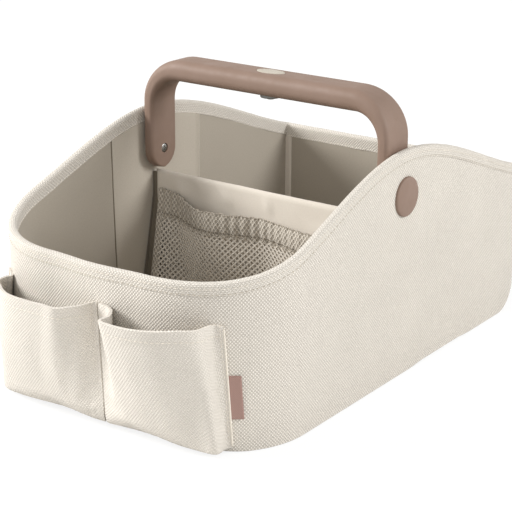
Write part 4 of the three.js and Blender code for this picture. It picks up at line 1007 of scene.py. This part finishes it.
def mesh_net():
    """Knitted net as strands: a grid of slanting cells, each edge a flat strand."""
    wide, tall = 94, 32
    thick, width = 0.26, 0.55

    def place(i, j):
        x, z = NET_HALF * (2 * i / wide - 1), mix(NET_LOW, NET_HIGH, j / tall)
        x += 0.25 * soft((x, 3, z), 9, 43)
        return np.array((x, net_y(x, z), z))

    points, faces = [], []
    for i, j, step in ((i, j, step) for i in range(wide) for j in range(i % 2, tall + 1, 2)
                       for step in (1, -1) if 0 <= j + step <= tall):
        ends = place(i, j), place(i + 1, j + step)
        along = ends[1] - ends[0]
        along /= np.linalg.norm(along)
        across = np.cross(along, (0, 1.0, 0))
        across /= np.linalg.norm(across)
        depth = np.cross(across, along)
        faces += ring_faces(2, 4, len(points))
        points += [end + across * width * s + depth * thick * t for end in ends
                   for s, t in ((-1, -1), (1, -1), (1, 1), (-1, 1))]
    piece = add_object("mesh_net", points, faces, plan_uv(points, faces, (0, 2)), 60)
    dress(piece, "strand", "net", "mesh_pocket_net")


def gathered_band():
    columns = spaced(260, -NET_HALF, NET_HALF)

    def points(share, x):
        # The band reaches higher at its sewn ends
        top = BAND_HIGH + 4.2 * (1 - float(smoothstep(NET_HALF - abs(x), 8, 34)))
        z = mix(NET_HIGH, top, share)
        strength = 0.35 + 0.65 * max(0, 0.5 + soft((x, 5, 0), 24, 53))
        frill = math.sin(x / 1.05 + 1.7 * soft((x, 0, 0), 13, 51)) * strength
        frill = frill * mix(0.9, 0.55, share) + 0.45 * soft((x * 2.2, 0, z), 5, 55)
        belly = 0.8 * math.sin(math.pi * share)
        seam = 0.7 * math.exp(-((z - NET_HIGH - 1.0) / 1.2) ** 2)
        y = net_y(x, z) - 0.75 - belly - max(frill, -0.6) + seam
        z += 0.9 * soft((x * 1.7, 0, 9), 6, 57) if share > 0.9 else 0
        return (x, y, z), (x, y + 1.15, z)

    piece, seen = two_faced("mesh_band", spaced(18), columns, points, 80)
    dress(piece, "net", "net", "mesh_pocket_band")
    declare_sheet(piece, run_along(seen[len(seen) // 2])[-1] * 1.02, BAND_CUT, "gathered",
                  "divider_fabric")
    normal = np.tile([0, -1.0, 0], (len(columns), 1))
    loops = seen + np.array([(0, 0, 0.5 * math.sin(k * 2.1)) for k in range(len(columns))])
    for name, path, *thread in (("band_loops_top", loops[-1], "overlock", 1.1, 0.7, 0.42, 0.3),
                                ("band_loops_foot", loops[1], "overlock", 1.0, 0.8, 0.4, 0.3),
                                ("band_loops_under", loops[1] - (0, 0, 1.6), "overlock",
                                 1.0, 0.9, 0.36, 0.3),
                                ("band_seam", seen[3], "dark_thread", 2.2, 0.3, 0.24, 0.2)):
        stitches(name, path, normal, *thread, slot="net")


def net_tapes():
    for hand, side_name in SIDES:
        columns = spaced(6, hand * (NET_HALF - 3.5), hand * (NET_HALF + 1.4))[::hand]

        def points(z, x):
            off = net_stand_off(min(abs(x), NET_HALF - 0.01) * hand, z) + 1.5
            off += 0.35 * soft((x * 2, 0, z), 7, 61) - 0.35 * (x in (columns[0], columns[-1]))
            return (x, DIVIDER_FACE - off - 0.2, z), (x, DIVIDER_FACE - max(off - 1.2, 0.15), z)

        piece, _ = two_faced(f"mesh_{side_name}_tape", spaced(60, NET_LOW, BAND_HIGH + 3.8),
                             columns, points, 80)
        dress(piece, "net", "net", f"mesh_pocket_{side_name}_tape")

    def foot_points(z, x):
        y = net_y(x, NET_LOW) - 0.5 + 0.3 * soft((x, 0, z), 8, 63)
        return (x, y, z), (x, DIVIDER_FACE - 0.25, z)

    piece, _ = two_faced("mesh_foot_tape", spaced(5, 4.6, 8.4), spaced(90, -NET_HALF, NET_HALF),
                         foot_points, 80)
    dress(piece, "net", "net", "mesh_pocket_foot_tape")
    declare_sheet(piece, *FOOT_TAPE_CUT, "folded", "divider_fabric")


divider()
divider_flanges()
mesh_net()
gathered_band()
net_tapes()


# Front pockets

POCKET_TOP, POCKET_LOW, POCKET_DEPTH, POCKET_WIDTH = 80.0, 2.5, 20.0, 80
POCKET_COLUMNS = 96
SEAM_TOP_X, SEAM_FOOT_X, SEAM_GAP = 5.5, 9.0, 0.6
FOOT_SEAM_SHIFT = 0.73
OUTER_FOOT_ANGLE, OUTER_TOP_ANGLE = math.radians(43.5), math.radians(48)
POCKET_SWELL = 0.8

# Plans of the pockets' open tops and feet, as shares of their run and their depth
PLANS = {
    -1: ([(0, 0), (0.03, 0), (0.11, 0.08), (0.11, 0.28), (0.2, 0.62), (0.4, 0.96), (0.6, 1.04),
          (0.75, 1.02), (0.86, 0.98), (0.925, 0.62), (0.962, 0.25), (0.982, 0), (1, 0)],
         [(0, 0), (0.03, 0.02), (0.05, 0.12), (0.08, 0.28), (0.12, 0.37), (0.17, 0.35),
          (0.26, 0.24), (0.4, 0.14), (0.6, 0.06), (0.8, 0.04), (0.9, 0.03), (0.98, 0.02), (1, 0)]),
    1: ([(0, 0), (0.015, 0), (0.15, 0.22), (0.2, 0.6), (0.185, 0.98), (0.34, 1.08), (0.54, 1.02),
         (0.74, 0.8), (0.83, 0.62), (0.87, 0.38), (0.895, 0.1), (0.93, 0.01), (1, 0)],
        [(0, 0), (0.01, 0.02), (0.02, 0.03), (0.08, 0.02), (0.2, 0), (0.35, 0.01), (0.52, 0.04),
         (0.76, 0.18), (0.88, 0.37), (0.915, 0.3), (0.94, 0.1), (0.965, 0.01), (1, 0)]),
}

# How far the pockets' top edges sink, at shares of their run
SINKS = {
    -1: ([0, 0.05, 0.13, 0.3, 0.6, 0.8, 1], [2.4, 4.2, 4.2, 1.6, 1.6, 1, 0]),
    1: ([0, 0.1, 0.3, 0.5, 0.72, 0.88, 1], [0, 0.4, 1.8, 1.5, 0.3, 1.2, 2.4]),
}


def pocket_share(height):
    return (height - POCKET_LOW) / (POCKET_TOP - POCKET_LOW)


def seam_angle(height):
    return mix(OUTER_FOOT_ANGLE, OUTER_TOP_ANGLE, pocket_share(height))


def curve_through(points, count):
    """Smooth curve through points, evenly spaced by length."""
    ends = np.vstack([2 * points[0] - points[1], points, 2 * points[-1] - points[-2]])
    fine = []
    for k in range(len(points) - 1):
        p0, p1, p2, p3 = ends[k:k + 4]
        fine += [0.5 * (2 * p1 + (p2 - p0) * t + (2 * p0 - 5 * p1 + 4 * p2 - p3) * t * t
                        + (3 * p1 - p0 - 3 * p2 + p3) * t ** 3) for t in spaced(24)[:-1]]
    fine = np.array(fine + [points[-1]])
    run = run_along(fine)
    return np.array([[np.interp(s, run, fine[:, k]) for k in (0, 1)]
                     for s in spaced(count, 0, run[-1])])


def foot_inset(radius, height):
    rise = min(height, radius)
    return radius - math.sqrt(max(radius ** 2 - (radius - rise) ** 2, 0))


def front_path(height, hand):
    """The wall behind a pocket at a height, from its left seam to its right one."""
    seam = mix(SEAM_FOOT_X, SEAM_TOP_X, pocket_share(height))
    seam += hand * SEAM_GAP - FOOT_SEAM_SHIFT * foot_inset(FRONT_FOOT, height)
    stations = [front_station(mix(seam / CORNER_MIDDLE, hand, s)) for s in spaced(20)]
    stations += [corner_station(hand, a) for a in spaced(20, QUARTER, seam_angle(height))[1:]]
    return np.array([s.at(foot_inset(s.foot, height), 0) for s in stations])[::hand]


def pocket_grid(hand, heights):
    top, foot = (np.array(plan) for plan in PLANS[hand])
    scale = np.array((POCKET_WIDTH, POCKET_DEPTH))
    rows = []
    for height in heights:
        openness = max(pocket_share(height), 0) ** POCKET_SWELL
        path = front_path(height, hand)
        run = run_along(path) / run_along(path)[-1]
        slope = np.gradient(path, axis=0)
        plan = curve_through(mix(foot, top, openness) * scale, POCKET_COLUMNS) / scale
        closing = min(max(height - POCKET_LOW, 0) / 0.9, 1) ** 0.5
        sinking = float(smoothstep(height, 45, POCKET_TOP))
        row = []
        for k, (along, out) in enumerate(plan):
            along = min(max(along, 0), 1)
            sink = sinking * np.interp(k / POCKET_COLUMNS, *SINKS[hand])
            (x, y), (dx, dy) = ([np.interp(along, run, line[:, k]) for k in (0, 1)]
                                for line in (path, slope))
            away = (1.0 + max(out, 0) * closing * POCKET_DEPTH) / math.hypot(dx, dy)
            row.append((x + away * dy, y - away * dx, height - sink))
        rows.append(row)
    return np.array(rows)


def pocket(hand, side_name):
    """A pocket with the stitches of its hem. Returns the grid of its outer face."""
    heights = np.concatenate([[POCKET_LOW, POCKET_LOW + 0.3, POCKET_LOW + 1], spaced(11, 5, 22),
                              spaced(34, 22, POCKET_TOP)[1:]])
    start = pocket_grid(hand, heights)
    pinned = np.zeros(start.shape[:2], bool)
    pinned[0], pinned[:, :3], pinned[:, -3:] = True, True, True
    middle = settle(start, pinned, slack=0.004, gravity=0.3, cap=1.2, bend=8)
    normals = grid_normals(middle)
    if normals[20, 48, 1] > 0:
        normals = -normals
    dents = np.array([[soft(p, 34, 71 + hand) * 0.7 + soft(p, 13, 73 + hand) * 0.15 for p in row]
                      for row in start])
    middle = middle + normals * (dents * smoothstep(middle[:, :, 2], 4, 22))[:, :, None]
    thick = 0.5 + 0.35 * smoothstep(start[:, :, 2], POCKET_TOP - 8.6, POCKET_TOP - 7.6)
    thick = (thick - 0.2 * smoothstep(start[:, :, 2], POCKET_TOP - 0.7, POCKET_TOP))[:, :, None]
    outer, inner = middle + normals * thick, middle - normals * thick
    uv = sheet_uv(start)
    runs = np.cumsum(np.linalg.norm(np.diff(start, axis=1), axis=2), axis=1)
    uv[:, 1:, 0], uv[:, 0, 0] = runs, 0
    uv[:, :, 0] -= uv[:, 48:49, 0] - 70
    piece = slab(f"{side_name}_pocket_fabric", outer, inner, uv, sharp=80)
    dress(piece, "pocket", "weave", f"{side_name}_pocket")
    declare_sheet(piece, runs[:, -1].max() + 4, POCKET_CUT, "stretched", "wall_fabric")
    row = int(np.argmin(abs(heights - (POCKET_TOP - 6.4))))
    stitches(f"{side_name}_pocket_hem", outer[row], normals[row], length=2.3)
    return outer


def pocket_seam(hand, side_name, outer):
    """The stitches along a pocket's outer seam, and the seam's edge."""
    column = outer[:, 2] if hand < 0 else outer[:, -3]
    path = [[np.interp(z, column[:, 2], column[:, k]) for k in (0, 1)] + [z]
            for z in spaced(60, 8, POCKET_TOP)]
    normals = np.tile([hand * 0.7, -0.7, 0], (len(path), 1))
    stitches(f"{side_name}_pocket_seam", path, normals, length=2.2)
    edge = outer[3::2, 0 if hand < 0 else -1]
    dress(tube_along(f"{side_name}_pocket_edge", edge, 0.55), "thread", "weave")


pockets = [pocket(*side) for side in SIDES]
for side, pocket_outer in zip(SIDES, pockets):
    pocket_seam(*side, pocket_outer)


# Bare woven tab in the right pocket's seam

def label_tab():
    low, high = span_of("label_tab")[0][2] - 0.3, span_of("label_tab")[1][2] + 0.3

    def points(z, s):
        angle = seam_angle(z) - (s * TAB_WIDTH - 0.3) / ((CORNER_ACROSS + CORNER_ALONG) / 2)
        station = corner_station(1, angle)
        curl = 0.9 * s * s + 0.25 * soft((s * 8, 0, z), 9, 81)
        edge = min(s * TAB_WIDTH, (1 - s) * TAB_WIDTH, z - low, high - z)
        thick = 0.45 + 0.35 * float(smoothstep(edge, 0, 0.5))
        return ((*station.at(-0.5 - curl - thick, 0), z), (*station.at(-0.5 - curl + 0.1, 0), z))

    piece, _ = two_faced("label_tab_cloth", spaced(30, low, high), spaced(14), points, 80)
    dress(piece, "tab", "tab", "label_tab")
    declare_sheet(piece, 2 * TAB_WIDTH, high - low + 0.4, "folded", "wall_fabric")


label_tab()


# Handle

def handle_section(outer, inner, half, edge, hand):
    """Rounded section between a point on the handle's outer side and one on its inner side."""
    thickness = math.dist(outer, inner)
    points = []
    for sx, sy, start in ((1, 1, 0), (-1, 1, 1), (-1, -1, 2), (1, -1, 3)):
        for angle in (start + spaced(7)) * QUARTER:
            across = sx * (thickness / 2 - edge) + edge * math.cos(angle)
            share = across / thickness + 0.5
            points.append((hand * mix(inner[0], outer[0], share),
                           PIVOT_Y + sy * (half - edge) + edge * math.sin(angle),
                           mix(inner[1], outer[1], share)))
    return points


def handle_half(hand):
    end = HANDLE_WIDTH / 2
    outer_turn, inner_turn = HANDLE_TOP - OUTER_TURN, BAR_UNDER - INNER_TURN
    sections = []
    for angle in spaced(18, math.radians(87.5), 0)[:-1]:
        z, half = PIVOT_Z - end * math.sin(angle), end * math.cos(angle)
        sections.append(((LEG_OUTER, z), (LEG_INNER, z), half, min(LEG_EDGE, half * 0.85)))
    for s in spaced(8):
        sections.append(((LEG_OUTER, mix(PIVOT_Z, outer_turn, s)),
                         (LEG_INNER, mix(PIVOT_Z, inner_turn, s)), end, LEG_EDGE))
    for s in spaced(22)[1:]:
        in_by, rise = 1 - math.cos(s * QUARTER), math.sin(s * QUARTER)
        sections.append(((LEG_OUTER - OUTER_TURN * in_by, outer_turn + OUTER_TURN * rise),
                         (LEG_INNER - INNER_TURN * in_by, inner_turn + INNER_TURN * rise),
                         end, mix(LEG_EDGE, BAR_EDGE, float(smoothstep(s, 0, 1)))))
    for s in spaced(10)[1:]:
        sections.append(((mix(LEG_OUTER - OUTER_TURN, 0, s), HANDLE_TOP),
                         (mix(LEG_INNER - INNER_TURN, 0, s), BAR_UNDER), end, BAR_EDGE))
    return [handle_section(*section, hand) for section in sections]


CENTRE_HALF_LENGTH, CENTRE_HALF_WIDTH, BAR_CEILING = 12.8, 7.9, 182.3
DOOR_RECESS, BELOW_BAR = 1.7, 4
BUTTON_HOLE, BUTTON_SHAPE = 10.8, 5.8 / 10.8

# Radii and depths of the small turned pieces
BUTTON_RADIUS, BUTTON_FLANGE = 10.5, 11.7
CAP_RADIUS, CAP_THICKNESS, CAP_FACE = 12.65, 2.8, 11.4
CAP_HOLLOW, HOLLOW_DEPTH, BOSS_RADIUS = 9.3, 1.7, 4.7
HEAD_RADIUS, HEAD_DEPTH, SHANK_RADIUS, SHANK_END = 3.0, 1.6, 1.4, 10.4
SLOT_HALF_LENGTH, SLOT_HALF_WIDTH, SLOT_DEPTH = 1.7, 0.35, 0.9
LENS_RADIUS, LENS_FLANGE = 4.6, 6
BEZEL_INNER, BEZEL_OUTER = 4.9, 6.8


def handle():
    piece = loft("handle_moulding", handle_half(-1) + handle_half(1)[::-1][1:], 35)
    cutters = []
    for node in ("light_cover", "left_battery_door", "right_battery_door"):
        low, high = span_of(node, 0.3)
        low[2], high[2] = BAR_UNDER - BELOW_BAR, BAR_UNDER + DOOR_RECESS
        cutters.append(box_object(f"cut_{node}", low, high))
    corners = [(side * CENTRE_HALF_LENGTH, PIVOT_Y + side * CENTRE_HALF_WIDTH, z)
               for side, z in ((-1, BAR_UNDER - BELOW_BAR), (1, BAR_CEILING))]
    cutters.append(box_object("cut_centre", *corners))
    cutters.append(turned("cut_button", [(-3, 0), (-3, BUTTON_HOLE), (5, BUTTON_HOLE), (5, 0)],
                          (0, PIVOT_Y, HANDLE_TOP), (0, 0, 1), (BUTTON_SHAPE, 1)))
    for hand in (-1, 1):
        for name, x, low, high, radius in (("screw", LEG_INNER, -2, 2.2, 3.3),
                                           ("boss", LEG_OUTER, -2.1, 3, 5.0)):
            profile = [(low, 0), (low, radius), (high, radius), (high, 0)]
            cutters.append(turned(f"cut_{name}_{hand + 1}", profile, (hand * x, PIVOT_Y, PIVOT_Z),
                                  (hand, 0, 0)))
    carve(piece, cutters)
    dress(piece, "handle", "handle", "handle_shell", body="handle")


def button_piece():
    low, high = (corner[2] for corner in span_of("light_button"))
    profile = [(low, 0), (low, BUTTON_FLANGE, 0.2), (low + 1, BUTTON_FLANGE, 0.2),
               (low + 1, BUTTON_RADIUS), (high, BUTTON_RADIUS, 0.5), (high + 0.12, 4),
               (high + 0.15, 0)]
    piece = turned("button_cap", profile, (0, PIVOT_Y, 0), (0, 0, 1), (11 / 21, 1))
    dress(piece, "button", "button", "light_button", body="button")


def pivot_pieces():
    for hand, side_name in SIDES:
        ends = [abs(corner[0]) for corner in span_of(f"{side_name}_pivot_cap")]
        far, length = max(ends), max(ends) - min(ends)
        profile = [(0.05, 0), (0, 8), (-0.45, CAP_FACE, 0.6), (-1.0, CAP_RADIUS, 0.7),
                   (-CAP_THICKNESS, CAP_RADIUS, 0.3), (-CAP_THICKNESS, CAP_HOLLOW),
                   (-HOLLOW_DEPTH, CAP_HOLLOW, 0.2), (-HOLLOW_DEPTH, BOSS_RADIUS),
                   (-length, BOSS_RADIUS, 0.2), (-length, 0)]
        piece = turned(f"{side_name}_cap", profile, (hand * far, PIVOT_Y, PIVOT_Z), (hand, 0, 0),
                       steps=72)
        dress(piece, "handle", "handle", f"{side_name}_pivot_cap", body="handle")
        head = hand * (LEG_INNER + 0.3)
        profile = [(0, 0), (0.05, 2.2), (0.35, HEAD_RADIUS, 0.3), (HEAD_DEPTH, HEAD_RADIUS),
                   (HEAD_DEPTH, SHANK_RADIUS), (SHANK_END, SHANK_RADIUS, 0.3), (10.6, 0)]
        screw = turned(f"{side_name}_screw", profile, (head, PIVOT_Y, PIVOT_Z), (hand, 0, 0),
                       steps=32)
        arm = (SLOT_HALF_LENGTH, SLOT_HALF_WIDTH)
        carve(screw, [box_object(f"cut_slot_{side_name}_{k}",
                                 (head - SLOT_DEPTH, PIVOT_Y - dy, PIVOT_Z - dz),
                                 (head + SLOT_DEPTH, PIVOT_Y + dy, PIVOT_Z + dz))
                      for k, (dy, dz) in enumerate((arm, arm[::-1]))])
        dress(screw, "steel", "steel", f"{side_name}_pivot_screw", body="handle")


def light_pieces():
    low, high = (corner[2] for corner in span_of("light_lens"))
    low -= 1.3
    profile = [(low, 0), (low + 0.2, 2.4), (low + 1.2, LENS_RADIUS, 0.5),
               (high - 0.8, LENS_RADIUS), (high - 0.8, LENS_FLANGE, 0.1),
               (high, LENS_FLANGE, 0.1), (high, 0)]
    piece = turned("light_lens_clear", profile, (0, PIVOT_Y, 0), (0, 0, 1), steps=48)
    dress(piece, "lens", "lens", "light_lens", body="handle")
    foot, top = BAR_UNDER - 2.2, BAR_UNDER + 0.1
    corners = [(foot, BEZEL_INNER, 0.15), (foot, BEZEL_OUTER, 0.35), (top, BEZEL_OUTER),
               (top, BEZEL_INNER)]
    ring = rounded([corners[-1]] + corners + [corners[0]])
    points = [(r * math.cos(a), PIVOT_Y + r * math.sin(a), z)
              for a in spaced(48, 0, 2 * math.pi)[:-1] for z, r in ring]
    bezel = add_object("light_bezel", points, ring_faces(48, len(ring), closed=True))
    dress(bezel, "ring", "steel", body="handle")


handle()
button_piece()
pivot_pieces()
light_pieces()


# Looks of the frame's own pieces that stay

STAY = {
    "nylon": "left_pivot_bush right_pivot_bush left_backing_ring right_backing_ring push_switch",
    "steel": "left_door_screw right_door_screw left_inner_contact right_inner_contact"
             " left_outer_contact right_outer_contact",
    "stiffener": "front_board left_board right_board back_board base_board divider_board",
    "handle": "light_cover left_battery_door right_battery_door",
    "cell": "left_cell right_cell",
    "circuit": "circuit_board",
    "led": "light_led",
}
for look_name, node_names in STAY.items():
    for node_name in node_names.split():
        materials = frame["nodes"][node_name].data.materials
        materials.clear()
        materials.append(LOOKS[look_name])


# Floor, world and lamps

def floor(size=12):
    mesh = bpy.data.meshes.new("floor")
    mesh.from_pydata([(-size, -size, 0), (size, -size, 0), (size, size, 0), (-size, size, 0)], [],
                     [[0, 1, 2, 3]])
    piece = link(bpy.data.objects.new("floor", mesh))
    piece.location.z = -0.0004
    look = Look("floor_look", 1.0, specular=0.0)
    look.set("Base Color", (0.8, 0.8, 0.79, 1))
    glow = look.node("Emission", {"Color": (1, 1, 1, 1), "Strength": 1.1})
    mixed = look.node("MixShader", {0: look.times(look.seen(), 0.76), 1: look.shader.outputs[0],
                                    2: glow.outputs[0]})
    look.feed(look.tree.nodes["Material Output"].inputs["Surface"], mixed.outputs[0])
    mesh.materials.append(look.material)


def world():
    made = bpy.data.worlds.new("studio")
    bpy.context.scene.world = made
    made.use_nodes = True
    made.node_tree.nodes.clear()
    nodes = Nodes(made.node_tree)
    plain = nodes.node("Background", {"Color": (1, 1, 1, 1), "Strength": 1.0})
    ambient = nodes.node("Background", {"Color": (1.0, 0.985, 0.965, 1), "Strength": 0.53})
    mixed = nodes.node("MixShader", {0: nodes.seen(), 1: ambient.outputs[0], 2: plain.outputs[0]})
    nodes.node("OutputWorld", {"Surface": mixed.outputs[0]})


def lamp(name, place, size, power, tone=(1, 1, 1)):
    data = bpy.data.lights.new(name, "AREA")
    data.shape, data.size, data.energy, data.color = "DISK", size, power, tone
    made = link(bpy.data.objects.new(name, data))
    made.location = place
    aim = Vector((0, 0, 0.05)) - Vector(place)
    made.rotation_euler = aim.to_track_quat("-Z", "Y").to_euler()


floor()
world()
lamp("key", (-1.9, -1.35, 1.35), 1.15, 79, (1, 0.99, 0.98))
lamp("fill", (1.2, -2.3, 1.1), 1.2, 9)
lamp("side", (2.05, 0.8, 1.15), 1.0, 35)
